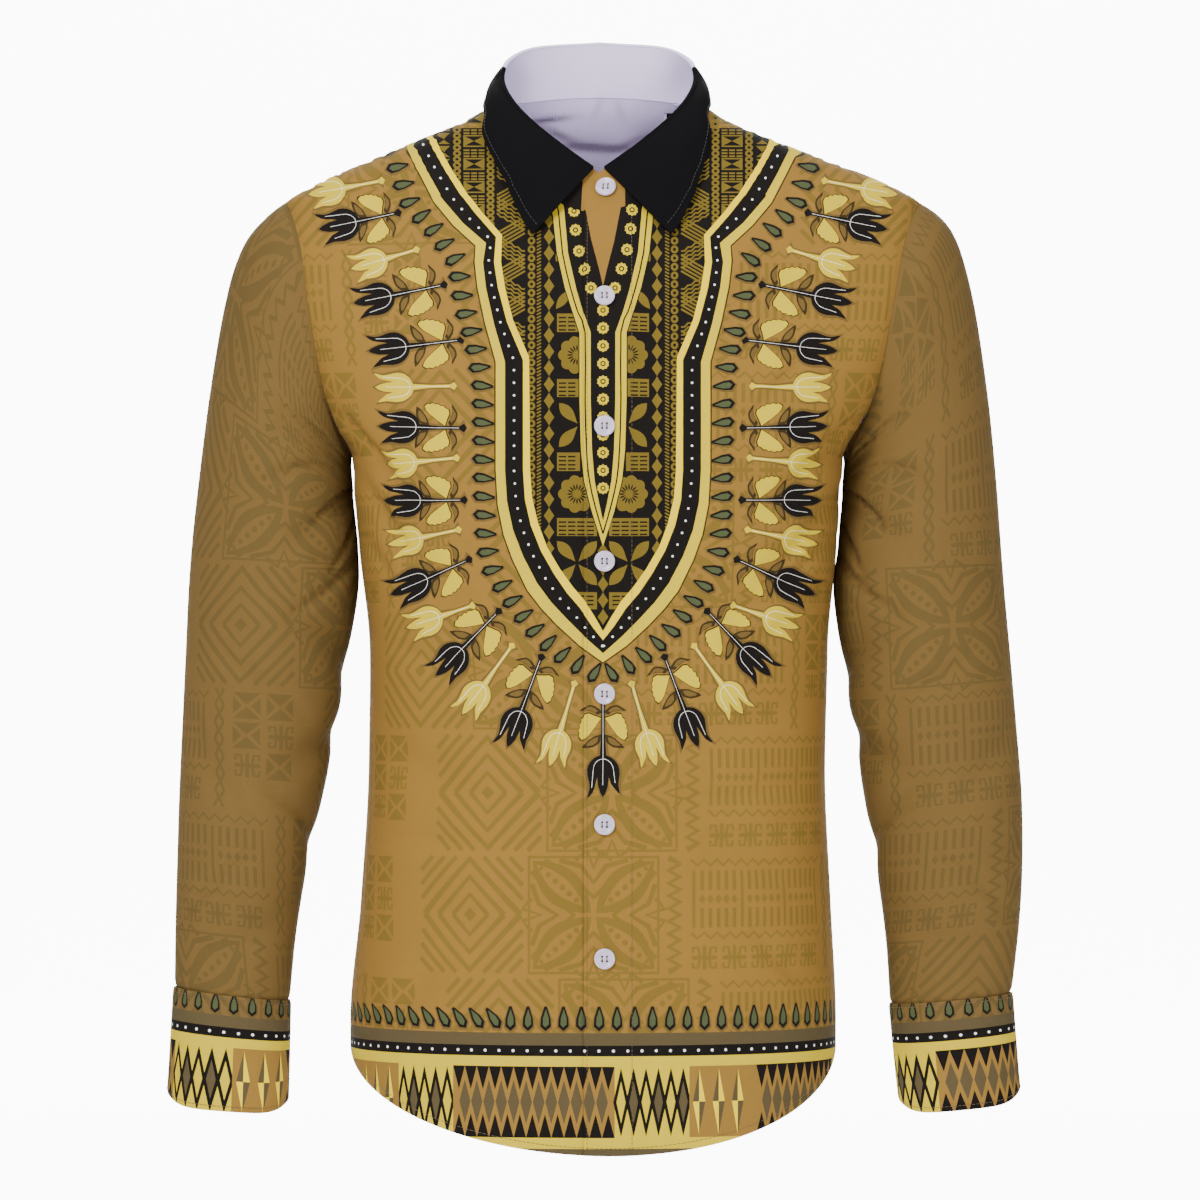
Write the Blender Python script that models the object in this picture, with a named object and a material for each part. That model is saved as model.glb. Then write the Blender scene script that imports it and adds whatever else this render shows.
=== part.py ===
"""A long-sleeved, button-front dashiki shirt, filled out as worn but with no wearer.

Metres, +Z up. The front faces -Y, and +X is the wearer's left. The origin lies on the centre
line between the shoulders, at the height of the side of the neck.
"""

import math

import bpy
import numpy as np

# Cloth and seams
WALL = 0.0015
CUFF_WALL = 0.002
COLLAR_WALL = 0.0017
SEAM = 0.0003
LAYER_GAP = 0.00045
FRONT, BACK = -1, 1
LEFT, RIGHT = 1, -1

# Torso: a stack of level rings, |x/a|^power + |y/b|^power = 1, with its own depth in front and behind
TORSO_COLUMNS = ("height", "half_width", "centre", "front", "back", "power")
TORSO = (
    (-0.756, 0.1755, -0.0070, 0.129, 0.126, 2.30),
    (-0.657, 0.1772, -0.0072, 0.127, 0.124, 2.30),
    (-0.569, 0.1714, -0.0053, 0.122, 0.118, 2.35),
    (-0.467, 0.1665, -0.0044, 0.118, 0.110, 2.40),
    (-0.387, 0.1670, -0.0031, 0.122, 0.113, 2.55),
    (-0.314, 0.1738, -0.0037, 0.128, 0.120, 2.85),
    (-0.2467, 0.1792, -0.0040, 0.130, 0.127, 3.40),
)
CHEST_COLUMNS = ("height", "armhole_x", "centre", "front", "back", "power")
CHEST = (
    (-0.2467, 0.1792, -0.0040, 0.130, 0.127, 3.40),
    (-0.2175, 0.1935, -0.0030, 0.130, 0.128, 2.95),
    (-0.2000, 0.1995, -0.0025, 0.128, 0.128, 2.75),
    (-0.1510, 0.2091, -0.0018, 0.118, 0.125, 2.45),
    (-0.1200, 0.2140, -0.0015, 0.107, 0.120, 2.38),
    (-0.0971, 0.2179, -0.0010, 0.096, 0.114, 2.33),
    (-0.0730, 0.2250, -0.0006, 0.083, 0.107, 2.30),
    (-0.0595, 0.2318, -0.0004, 0.076, 0.101, 2.30),
)
SHOULDER_COLUMNS = ("height", "ridge_x", "centre", "front", "back", "power")
SHOULDER = (
    (-0.0595, 0.2318, -0.0004, 0.076, 0.101, 2.30),
    (-0.0438, 0.2015, -0.0015, 0.067, 0.094, 2.30),
    (-0.0292, 0.1654, -0.0035, 0.059, 0.087, 2.30),
    (-0.0146, 0.1293, -0.0050, 0.054, 0.077, 2.30),
    (0.0000, 0.0942, -0.0050, 0.051, 0.066, 2.30),
    (0.0110, 0.0770, -0.0040, 0.050, 0.058, 2.30),
    (0.0220, 0.0620, -0.0040, 0.047, 0.052, 2.30),
)
ARMPIT_Z = TORSO[-1][0]
SHOULDER_Z = SHOULDER[0][0]
ARMHOLE_HALF_DEPTH = 0.068

# Hem: a shirt tail, lowest at the centres and highest at the side seams
HEM_SIDE_Z = -0.6716
HEM_DROP = {FRONT: 0.0745, BACK: 0.072}
HEM_LEAN = 0.07

# Neckline
NECK_SIDE_Z = 0.0110
NECK_HALF_WIDTH = 0.077
NECK_BACK_RISE = 0.009
NECK_DROP = 0.083
NECK_POWER = 0.65

# Placket: the left front laps over the right front about the button line
BUTTON_LINE_X = 0.0010
LAP_COLUMNS = (0.0146, 0.0045, -0.0060, -0.0165, -0.0250, -0.0340)
LAP_RAISE = WALL + LAYER_GAP
LAP_FLAT_X = 0.0165
LAP_END_X = 0.0340

# Mesh density
NECK_QUADS = {FRONT: 5, BACK: 6}
RIDGE_QUADS = 8
BODY_ROWS = 17
CHEST_ROWS = 14
SLEEVE_AROUND = 2 * CHEST_ROWS
SHARP_ANGLE = math.radians(50)

# Sleeves: slanted rings, each from an outer point to an inner one. BESIDE_BODY puts that on the body
RING_COLUMNS = ("outer_x", "outer_z", "inner_x", "inner_z", "half_depth", "forward")
BESIDE_BODY = 0.0
SLEEVE = {
    RIGHT: (
        (0.2475, -0.0730, BESIDE_BODY, -0.2526, 0.0670, 0.000),
        (0.2599, -0.0876, BESIDE_BODY, -0.2570, 0.0668, 0.000),
        (0.2694, -0.1095, BESIDE_BODY, -0.2613, 0.0665, 0.000),
        (0.2767, -0.1387, BESIDE_BODY, -0.2657, 0.0660, 0.000),
        (0.2832, -0.1752, BESIDE_BODY, -0.2701, 0.0655, 0.000),
        (0.2891, -0.2153, BESIDE_BODY, -0.2774, 0.0650, 0.001),
        (0.2949, -0.2628, BESIDE_BODY, -0.2920, 0.0640, 0.002),
        (0.2993, -0.3029, BESIDE_BODY, -0.3139, 0.0630, 0.003),
        (0.3022, -0.3416, 0.1785, -0.3446, 0.0620, 0.004),
        (0.3044, -0.3913, 0.1869, -0.3971, 0.0590, 0.006),
        (0.3066, -0.4416, 0.1949, -0.4489, 0.0560, 0.008),
        (0.3088, -0.4927, 0.2059, -0.5015, 0.0520, 0.010),
        (0.3102, -0.5431, 0.2168, -0.5526, 0.0470, 0.012),
        (0.3113, -0.5869, 0.2237, -0.5964, 0.0420, 0.013),
        (0.3118, -0.6309, 0.2279, -0.6409, 0.0365, 0.014),
    ),
    LEFT: (
        (0.2482, -0.0730, BESIDE_BODY, -0.2504, 0.0670, 0.000),
        (0.2577, -0.0876, BESIDE_BODY, -0.2555, 0.0668, 0.000),
        (0.2650, -0.1095, BESIDE_BODY, -0.2606, 0.0665, 0.000),
        (0.2716, -0.1387, BESIDE_BODY, -0.2657, 0.0660, 0.000),
        (0.2774, -0.1752, BESIDE_BODY, -0.2701, 0.0655, 0.000),
        (0.2825, -0.2153, BESIDE_BODY, -0.2774, 0.0650, 0.001),
        (0.2869, -0.2628, BESIDE_BODY, -0.2920, 0.0640, 0.002),
        (0.2898, -0.3029, BESIDE_BODY, -0.3139, 0.0630, 0.003),
        (0.2927, -0.3416, BESIDE_BODY, -0.3446, 0.0620, 0.004),
        (0.2971, -0.3913, 0.1752, -0.4000, 0.0590, 0.006),
        (0.3011, -0.4395, 0.1832, -0.4511, 0.0560, 0.008),
        (0.3051, -0.4927, 0.1920, -0.5052, 0.0520, 0.010),
        (0.3055, -0.5431, 0.2004, -0.5555, 0.0470, 0.012),
        (0.3030, -0.5869, 0.2059, -0.5986, 0.0420, 0.013),
        (0.2975, -0.6352, 0.2088, -0.6432, 0.0365, 0.014),
    ),
}
SLEEVE_CLEARANCE = 0.0010
SLEEVE_SEAM_STEP = 0.0004
SETTLE_RINGS = 6
SETTLE_SHARE = 0.6
UNDERARM_TURN = 0.6
CREASE_FADE_TOP = 0.05
CREASE_FADE_CUFF = 0.04

# Cuffs: bands that overlap behind the wrist
CUFF = {
    RIGHT: (
        (0.3130, -0.6315, 0.2269, -0.6415, 0.0370, 0.014),
        (0.3175, -0.7170, 0.2285, -0.7235, 0.0350, 0.016),
    ),
    LEFT: (
        (0.2985, -0.6358, 0.2078, -0.6438, 0.0370, 0.014),
        (0.3040, -0.7150, 0.2150, -0.7235, 0.0350, 0.016),
    ),
}
CUFF_AROUND = 30
CUFF_ROWS = 4
CUFF_CORNER_RISE = 0.009
CUFF_CORNER_POWER = 6
CUFF_SEAM_ANGLE = math.radians(-62)
CUFF_OVERLAP = math.radians(38)
CUFF_RAISE = CUFF_WALL + LAYER_GAP
CUFF_STEP_START = 1.9
CUFF_STEP_LENGTH = 0.8
CUFF_BUTTON_COLUMN = CUFF_AROUND - 2

# Collar: a stand from the neckline to the fold, and a leaf from the fold to its edge
FOLD_COLUMNS = ("azimuth_deg", "height")
FOLD = (
    (0, 0.0590),
    (37, 0.0555),
    (70, 0.0440),
    (90, 0.0310),
    (105, 0.0210),
    (125, 0.0050),
    (155, -0.0205),
    (180, -0.0425),
)
FOLD_HALF_WIDTH = 0.0705
FOLD_DEPTH = {FRONT: 0.065, BACK: 0.050}
FOLD_CENTRE_X = -0.003
STAND_ROWS = 3
STAND_SEAM_STEP = 0.0008
LEAF_COLUMNS = ("azimuth_deg", "edge_part", "edge_z")
LEAF = (
    (180, 0.205, -0.0905),
    (168, 0.238, -0.0800),
    (150, 0.300, -0.0560),
    (135, 0.385, -0.0400),
    (122, 0.520, -0.0240),
    (112, 0.790, -0.0030),
    (102, 0.955, 0.0060),
    (90, 1.000, 0.0090),
    (78, 0.985, 0.0080),
    (65, 0.900, 0.0050),
    (50, 0.740, 0.0030),
    (30, 0.400, 0.0010),
    (0, 0.000, 0.0000),
)
LEAF_HALF_GAP_X = 0.0038
LEAF_ROWS = 5
LEAF_SEAM_STEP = 0.0005
LEAF_LIFT = 0.0048
LEAF_BULGE = 0.0030
LEAF_END_ANGLE = 0.03

# Creases: soft troughs, from a start to an end across the front view of the body
CREASE_COLUMNS = ("side", "start_x", "start_z", "end_x", "end_z", "half_width", "depth")
BODY_CREASES = (
    (LEFT, 0.185, -0.225, 0.110, -0.300, 0.011, 0.0045),
    (LEFT, 0.172, -0.265, 0.085, -0.385, 0.013, 0.0040),
    (LEFT, 0.160, -0.420, 0.060, -0.455, 0.014, 0.0025),
    (LEFT, 0.165, -0.560, 0.070, -0.520, 0.015, 0.0025),
    (RIGHT, 0.190, -0.230, 0.125, -0.290, 0.011, 0.0045),
    (RIGHT, 0.176, -0.275, 0.100, -0.360, 0.013, 0.0035),
    (RIGHT, 0.165, -0.450, 0.080, -0.500, 0.014, 0.0030),
    (RIGHT, 0.170, -0.600, 0.090, -0.560, 0.015, 0.0025),
)
CREASE_EDGE_FADE = 0.35
CREASE_TAPER = 0.7
SLOPE_STEP = 0.005
SLEEVE_CREASE_COLUMNS = ("angle_deg", "distance", "slant", "half_width", "half_angle_deg", "depth")
SLEEVE_CREASES = (
    (120, 0.060, -0.035, 0.012, 50, 0.0040),
    (135, 0.135, -0.045, 0.014, 55, 0.0035),
    (150, 0.235, 0.030, 0.014, 60, 0.0040),
    (160, 0.305, -0.020, 0.013, 60, 0.0045),
    (60, 0.330, 0.040, 0.016, 50, 0.0030),
    (200, 0.385, 0.030, 0.015, 65, 0.0035),
    (100, 0.450, -0.025, 0.014, 60, 0.0030),
    (250, 0.180, 0.030, 0.014, 50, 0.0035),
    (240, 0.300, -0.030, 0.014, 55, 0.0040),
    (280, 0.420, 0.025, 0.015, 55, 0.0030),
)

# Buttons
BUTTON_RADIUS = 0.0075
BUTTON_THICKNESS = 0.0028
BUTTON_RIM = 0.0018
BUTTON_DISH = 0.0007
BUTTON_SIDES = 20
BUTTON_GAP = 0.0005
STAND_BUTTON_GAP = 0.0009
CUFF_BUTTON_GAP = 0.0010
FRONT_BUTTON_HEIGHTS = (-0.1345, -0.2265, -0.3225, -0.4170, -0.5105, -0.6060)

# Neck label: a small blank tab inside the back neck
LABEL_X = 0.054
LABEL_INSET = 0.0028
LABEL_WIDTH = 0.016
LABEL_DROP = 0.020
LABEL_WALL = 0.001

# Colours, roughness
CLOTH_COLOUR = (0.47, 0.29, 0.085)
SLEEVE_COLOUR = (0.35, 0.21, 0.075)
CUFF_COLOUR = (0.30, 0.22, 0.09)
COLLAR_COLOUR = (0.011, 0.010, 0.012)
LABEL_COLOUR = (0.02, 0.02, 0.02)
BUTTON_COLOUR = (0.72, 0.68, 0.76)
CLOTH_ROUGHNESS = 0.75
BUTTON_ROUGHNESS = 0.25


def column(table, names, name):
    """One named column of a table, against its first column, as a smooth monotone function."""
    rows = np.array(sorted(table), dtype=float)
    return smooth_curve(rows[:, 0], rows[:, names.index(name)])


def smooth_curve(at, values):
    """A monotone cubic through the points, straight beyond both ends."""
    step = np.diff(at)
    slope = np.diff(values) / step
    inner = np.zeros(len(slope) - 1)
    same = slope[:-1] * slope[1:] > 0
    weight_a = 2 * step[1:] + step[:-1]
    weight_b = step[1:] + 2 * step[:-1]
    total = weight_a + weight_b
    inner[same] = total[same] / (weight_a[same] / slope[:-1][same] + weight_b[same] / slope[1:][same])
    tangent = np.concatenate([slope[:1], inner, slope[-1:]])

    def value(x):
        x = np.asarray(x, dtype=float)
        inside = np.clip(x, at[0], at[-1])
        i = np.clip(np.searchsorted(at, inside, side="right") - 1, 0, len(step) - 1)
        t = (inside - at[i]) / step[i]
        curve = (
            (1 + 2 * t) * (1 - t) ** 2 * values[i]
            + t * (1 - t) ** 2 * step[i] * tangent[i]
            + t * t * (3 - 2 * t) * values[i + 1]
            + t * t * (t - 1) * step[i] * tangent[i + 1]
        )
        beyond = np.where(x < at[0], tangent[0], tangent[-1])
        return curve + beyond * (x - inside)

    return value


BODY_HALF_WIDTH = column(TORSO, TORSO_COLUMNS, "half_width")
ARMHOLE_X = column(CHEST, CHEST_COLUMNS, "armhole_x")
RIDGE_X = column(SHOULDER, SHOULDER_COLUMNS, "ridge_x")
WHOLE = TORSO[:-1] + CHEST[:-1] + SHOULDER
CENTRE = column(WHOLE, TORSO_COLUMNS, "centre")
POWER = column(WHOLE, TORSO_COLUMNS, "power")
DEPTH = {
    FRONT: column(WHOLE, TORSO_COLUMNS, "front"),
    BACK: column(WHOLE, TORSO_COLUMNS, "back"),
}
FOLD_HEIGHT = column(FOLD, FOLD_COLUMNS, "height")
LEAF_EDGE_PART = column(LEAF, LEAF_COLUMNS, "edge_part")
LEAF_EDGE_Z = column(LEAF, LEAF_COLUMNS, "edge_z")


def smoothstep(value):
    """0 below 0, 1 above 1, and an eased rise between."""
    t = np.clip(value, 0, 1)
    return t * t * (3 - 2 * t)


def unit(vectors):
    """Vectors of length 1, along the last axis."""
    return vectors / np.maximum(np.linalg.norm(vectors, axis=-1, keepdims=True), 1e-12)


def armhole_ratio(z):
    """The armhole's half depth at a height, as a share of the ring's. It is 0 at both ends."""
    t = np.clip((SHOULDER_Z - z) / (SHOULDER_Z - ARMPIT_Z), 0, 1)
    mean_depth = (DEPTH[FRONT](z) + DEPTH[BACK](z)) / 2
    return ARMHOLE_HALF_DEPTH * 2 * np.sqrt(t * (1 - t)) / mean_depth


def half_width(z):
    """The ring's half width at a height: body below, chest beside the armhole, shoulder slope above."""
    power = POWER(z)
    chest = ARMHOLE_X(z) / (1 - armhole_ratio(z) ** power) ** (1 / power)
    return np.where(z < ARMPIT_Z, BODY_HALF_WIDTH(z), np.where(z > SHOULDER_Z, RIDGE_X(z), chest))


def ring_measure(points, face):
    """1 on the smooth body, more outside it, for points on one face."""
    x, y, z = points[..., 0], points[..., 1], points[..., 2]
    power = POWER(z)
    return (np.abs(x - CENTRE(z)) / half_width(z)) ** power + (np.abs(y) / DEPTH[face](z)) ** power


def crease_depth(x, z):
    """How far the cloth sinks at a place in the front view, from all the soft troughs there."""
    depth = np.zeros(np.broadcast(x, z).shape)
    for row in BODY_CREASES:
        crease = dict(zip(CREASE_COLUMNS, row))
        start = np.array([crease["side"] * crease["start_x"], crease["start_z"]])
        along = np.array([crease["side"] * crease["end_x"], crease["end_z"]]) - start
        length = np.linalg.norm(along)
        along = along / length
        run = (x - start[0]) * along[0] + (z - start[1]) * along[1]
        off = (x - start[0]) * along[1] - (z - start[1]) * along[0]
        taper = np.sin(np.pi * np.clip(run / length, 0, 1)) ** CREASE_TAPER
        depth = depth + crease["depth"] * taper * np.exp(-((off / crease["half_width"]) ** 2))
    return depth


def skin_points(x, z, face, raised=0.0):
    """Points and outward normals of the outer skin of the body, at places in the front view."""
    x = np.asarray(x, dtype=float)
    z = np.asarray(z, dtype=float)
    across = x - CENTRE(z)
    wide = half_width(z)
    deep = DEPTH[face](z)
    power = POWER(z)
    part = np.clip(np.abs(across) / wide, 0, 1)
    rest = (1 - part**power) ** (1 / power)
    points = np.stack([x, face * deep * rest, z], axis=-1)
    lean_x = power * np.sign(across) * part ** (power - 1) / wide
    lean_y = power * face * rest ** (power - 1) / deep
    up = np.array([0.0, 0.0, SLOPE_STEP])
    lean_z = (ring_measure(points + up, face) - ring_measure(points - up, face)) / (2 * SLOPE_STEP)
    normals = unit(np.stack([lean_x, lean_y, lean_z], axis=-1))
    sink = crease_depth(x, z) * smoothstep(rest / CREASE_EDGE_FADE)
    return points + normals * (raised - sink)[..., None], normals


def neck_height(x, face):
    """The neckline's height at a place across the front view."""
    part = np.clip((np.asarray(x, dtype=float) - CENTRE(NECK_SIDE_Z)) / NECK_HALF_WIDTH, -1, 1)
    if face == BACK:
        return NECK_SIDE_Z + NECK_BACK_RISE * (1 - part**2)
    return NECK_SIDE_Z - NECK_DROP * (1 - part**2) ** NECK_POWER


def hem_height(sine, face):
    """The hem's height, from the sine of a place's turn. It dips lowest a little left of the centre."""
    leaned = sine - HEM_LEAN * (1 - sine**2)
    return HEM_SIDE_Z - HEM_DROP[face] * np.sqrt(np.clip(1 - leaned**2, 0, 1))


def panel_places(side, face, lap_columns):
    """Front-view places of one half panel: rows from the hem up, columns from the centre out.

    Columns at fixed distances from the centre line come first, then some that end on the
    neckline, then some that end on the shoulder ridge.
    """
    lap = np.array(lap_columns)
    neck_quads = NECK_QUADS[face]
    free = np.arange(1, neck_quads + RIDGE_QUADS + 1) / (neck_quads + RIDGE_QUADS)
    top_centre = float(CENTRE(NECK_SIDE_Z))
    neck_start = math.asin(np.clip((lap[-1] - top_centre) * side / NECK_HALF_WIDTH, -1, 1))
    neck_turn = neck_start + (math.pi / 2 - neck_start) * np.arange(1, neck_quads + 1) / neck_quads
    neck_x = top_centre + side * NECK_HALF_WIDTH * np.sin(neck_turn)
    ridge_z = NECK_SIDE_Z + (SHOULDER_Z - NECK_SIDE_Z) * np.arange(1, RIDGE_QUADS + 1) / RIDGE_QUADS
    ridge_x = CENTRE(ridge_z) + side * RIDGE_X(ridge_z)
    top_x = np.concatenate([lap, neck_x, ridge_x])
    top_z = np.concatenate([neck_height(lap, face), neck_height(neck_x, face), ridge_z])

    def across(z):
        """Places across the body at a height or a row of heights, one for each column."""
        wide = half_width(z)
        middle = CENTRE(z)
        first = np.arcsin(np.clip((lap[-1] - middle) * side / wide, -1, 1))
        turn = first[..., None] + (math.pi / 2 - first[..., None]) * free
        outer = middle[..., None] + side * wide[..., None] * np.sin(turn)
        fixed = np.broadcast_to(lap, outer.shape[:-1] + lap.shape)
        return np.concatenate([fixed, outer], axis=-1)

    chest_x = across(np.array([ARMPIT_Z]))[0]
    chest_sine = (chest_x - CENTRE(ARMPIT_Z)) / half_width(ARMPIT_Z)
    hem_z = hem_height(chest_sine, face)
    rise = (np.arange(BODY_ROWS) / BODY_ROWS)[:, None]
    low_z = hem_z + (ARMPIT_Z - hem_z) * rise
    low_x = np.stack([across(low_z[:, i])[:, i] for i in range(len(chest_x))], axis=1)

    turn = np.pi * np.arange(CHEST_ROWS + 1) / CHEST_ROWS
    rise = ((1 - np.cos(turn)) / 2)[:, None]
    edge_z = ARMPIT_Z + (SHOULDER_Z - ARMPIT_Z) * rise[:, 0]
    edge_x = CENTRE(edge_z) + side * ARMHOLE_X(edge_z)
    bow = edge_x - (edge_x[0] + (edge_x[-1] - edge_x[0]) * rise[:, 0])
    share = np.concatenate([np.zeros(len(lap)), free])
    high_x = chest_x + (top_x - chest_x) * rise + bow[:, None] * share**2
    high_z = ARMPIT_Z + (top_z - ARMPIT_Z) * rise
    return np.concatenate([low_x, high_x]), np.concatenate([low_z, high_z])


def lap_raise(x):
    """How far the left front stands out where it laps over the right front."""
    return LAP_RAISE * smoothstep((LAP_END_X - x) / (LAP_END_X - LAP_FLAT_X))


def seam_inset(points, normals, neck_column):
    """Moves a half panel's sewn edges in by half a seam gap, within the skin."""
    half = SEAM / 2
    moved = points.copy()
    side_rows = slice(0, BODY_ROWS + 1)
    moved[side_rows, -1] += half * unit(points[side_rows, -2] - points[side_rows, -1])
    arm_rows = slice(BODY_ROWS, None)
    moved[arm_rows, -1] -= half * armhole_outward(points[arm_rows, -1], normals[arm_rows, -1])
    moved[-1, neck_column:] += half * unit(points[-2, neck_column:] - points[-1, neck_column:])
    neckline = slice(0, neck_column)
    moved[-1, neckline] -= half * neckline_outward(points[-1], normals[-1])[neckline]
    return moved


def edge_tangent(points):
    """Directions along a row of points."""
    ahead = np.concatenate([points[1:], points[-1:]])
    behind = np.concatenate([points[:1], points[:-1]])
    return unit(ahead - behind)


def armhole_outward(points, normals):
    """Directions in the skin that leave the panel across its armhole edge."""
    out = unit(np.cross(edge_tangent(points), normals))
    side = np.sign(points[len(points) // 2, 0])
    return out * np.sign(np.median(out[:, 0]) * side)


def neckline_outward(points, normals):
    """Directions in the skin that leave the panel upwards across its neckline."""
    out = unit(np.cross(edge_tangent(points), normals))
    return out * np.sign(np.median(out[:, 2]))


def half_panel(side, face, lap_columns, raised):
    """Outer points and normals of a half panel, before and after its seam gaps."""
    x, z = panel_places(side, face, lap_columns)
    lift = lap_raise(x) if raised else np.zeros_like(x)
    points, normals = skin_points(x, z, face, lift)
    neck_column = len(lap_columns) - 1 + NECK_QUADS[face]
    return points, normals, seam_inset(points, normals, neck_column)


def add_mesh(name, vertices, faces, material):
    """A smooth-shaded mesh object in the scene."""
    mesh = bpy.data.meshes.new(name)
    mesh.from_pydata([tuple(map(float, v)) for v in vertices], [], faces)
    mesh.validate()
    mesh.shade_smooth()
    mesh.set_sharp_from_angle(angle=SHARP_ANGLE)
    mesh.materials.append(material)
    obj = bpy.data.objects.new(name, mesh)
    bpy.context.collection.objects.link(obj)
    return obj


def wall(name, outer, inner, material, around=False, outward=1):
    """A closed wall between two grids of points. A wall that goes around joins its first and last columns."""
    rows, columns = outer.shape[:2]
    count = rows * columns
    vertices = np.concatenate([outer.reshape(-1, 3), inner.reshape(-1, 3)])
    across = columns if around else columns - 1
    faces = []
    for r in range(rows - 1):
        for c in range(across):
            d = (c + 1) % columns
            quad = (r * columns + c, r * columns + d, (r + 1) * columns + d, (r + 1) * columns + c)
            faces.append(quad)
            faces.append(tuple(count + i for i in reversed(quad)))
    for c in range(across):
        d = (c + 1) % columns
        top = (rows - 1) * columns
        faces.append((d, c, count + c, count + d))
        faces.append((top + c, top + d, count + top + d, count + top + c))
    if not around:
        for r in range(rows - 1):
            a, b = r * columns, (r + 1) * columns
            faces.append((a, b, count + b, count + a))
            a, b = a + columns - 1, b + columns - 1
            faces.append((b, a, count + a, count + b))
    if outward < 0:
        faces = [tuple(reversed(face)) for face in faces]
    return add_mesh(name, vertices, faces, material)


def make_material(name, colour, roughness):
    """A plain Principled material."""
    material = bpy.data.materials.new(name)
    material.use_nodes = True
    shader = material.node_tree.nodes["Principled BSDF"]
    shader.inputs["Base Color"].default_value = (*colour, 1)
    shader.inputs["Roughness"].default_value = roughness
    shader.inputs["Metallic"].default_value = 0
    return material


def make_fronts(material):
    """Both fronts. Returns their points and normals before the seam gaps, by side."""
    found = {}
    for side, name in ((LEFT, "front_left"), (RIGHT, "front_right")):
        lap = tuple(BUTTON_LINE_X - side * column_x for column_x in LAP_COLUMNS)
        points, normals, moved = half_panel(side, FRONT, lap, side == LEFT)
        wall(name, moved, moved - WALL * normals, material, outward=side)
        found[side] = (points, normals)
    return found


def make_back(material):
    """The back, in one piece. Returns its halves' points and normals before the seam gaps, by side."""
    found = {}
    halves = {}
    for side in (LEFT, RIGHT):
        lap = (float(CENTRE(NECK_SIDE_Z)),)
        points, normals, moved = half_panel(side, BACK, lap, False)
        found[side] = (points, normals)
        halves[side] = (moved, normals)
    outer = np.concatenate([halves[RIGHT][0][:, :0:-1], halves[LEFT][0]], axis=1)
    normals = np.concatenate([halves[RIGHT][1][:, :0:-1], halves[LEFT][1]], axis=1)
    wall("back", outer, outer - WALL * normals, material, outward=-1)
    return found


def armhole_loop(side, fronts, backs):
    """The armhole's loop: points, normals and directions out of the body, from the shoulder down the front."""
    rows = slice(BODY_ROWS, None)
    front_points, front_normals = (grid[rows, -1][::-1] for grid in fronts[side])
    back_points, back_normals = (grid[rows, -1] for grid in backs[side])
    points = np.concatenate([front_points, back_points[1:-1]])
    normals = np.concatenate([front_normals, back_normals[1:-1]])
    tangent = unit(np.roll(points, -1, axis=0) - np.roll(points, 1, axis=0))
    out = unit(np.cross(tangent, normals))
    return points, normals, out * np.sign(np.median(out[:, 0]) * side)


def ring(side, row, angles):
    """A slanted ring's points and outward directions. Angle 0 is outermost, and 90 degrees faces front."""
    size = dict(zip(RING_COLUMNS, row))
    inner_x, inner_z = size["inner_x"], size["inner_z"]
    if inner_x == BESIDE_BODY:
        inner_x = side * CENTRE(inner_z) + half_width(inner_z) + SLEEVE_CLEARANCE
    outer = np.array([side * size["outer_x"], -size["forward"], size["outer_z"]])
    inner = np.array([side * inner_x, -size["forward"], inner_z])
    middle = (outer + inner) / 2
    half = (outer - inner) / 2
    wide = np.linalg.norm(half)
    deep = size["half_depth"]
    axis = half / wide
    front = np.array([0.0, -1.0, 0.0])
    cosine = np.cos(angles)[:, None]
    sine = np.sin(angles)[:, None]
    points = middle + axis * wide * cosine + front * deep * sine
    normals = unit(axis * cosine / wide + front * sine / deep)
    return points, normals


def sleeve_crease(angles, distances):
    """How far a sleeve's cloth sinks, by angle round it and distance down it."""
    depth = np.zeros(np.broadcast(angles, distances).shape)
    degrees = np.degrees(angles)
    for row in SLEEVE_CREASES:
        crease = dict(zip(SLEEVE_CREASE_COLUMNS, row))
        turn = (degrees - crease["angle_deg"] + 180) % 360 - 180
        part = np.clip(turn / crease["half_angle_deg"], -1, 1)
        off = distances - crease["distance"] - crease["slant"] * part
        taper = np.cos(np.pi / 2 * part)
        depth = depth + crease["depth"] * taper * np.exp(-((off / crease["half_width"]) ** 2))
    return depth


def make_sleeve(side, name, fronts, backs, material):
    """A sleeve, from the armhole's own loop down to plain rings."""
    angles = 2 * np.pi * np.arange(SLEEVE_AROUND) / SLEEVE_AROUND
    loop, loop_normals, out = armhole_loop(side, fronts, backs)
    start = loop + SLEEVE_SEAM_STEP * out
    shoulder, armpit = loop[0], loop[SLEEVE_AROUND // 2]
    depth = (loop[:, 1].max() - loop[:, 1].min()) / 2
    flat_row = (side * shoulder[0], shoulder[2], side * armpit[0], armpit[2], depth, 0.0)
    flat = ring(side, flat_row, angles)[0]
    down = smoothstep(-np.cos(angles) * 2 - UNDERARM_TURN)[:, None]
    start_normals = unit(loop_normals * (1 - down) + np.array([0.0, 0.0, -1.0]) * down)
    rows = [start]
    row_normals = [start_normals]
    for index, row in enumerate(SLEEVE[side], start=1):
        points, normals = ring(side, row, angles)
        share = (1 - smoothstep(index / SETTLE_RINGS)) * smoothstep((np.cos(angles) + 1) * 2)
        rows.append(points + share[:, None] * (start - flat) * np.array([SETTLE_SHARE, 0.0, SETTLE_SHARE]))
        row_normals.append(normals)
    outer = np.stack(rows)
    normals = np.stack(row_normals)
    centres = outer.mean(axis=1)
    distances = np.concatenate([[0], np.cumsum(np.linalg.norm(np.diff(centres, axis=0), axis=1))])
    fade = smoothstep(distances / CREASE_FADE_TOP) * smoothstep((distances[-1] - distances) / CREASE_FADE_CUFF)
    sink = sleeve_crease(angles[None, :], distances[:, None]) * fade[:, None]
    outer = outer - normals * sink[..., None]
    wall(name, outer, outer - WALL * normals, material, around=True, outward=side)


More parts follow.
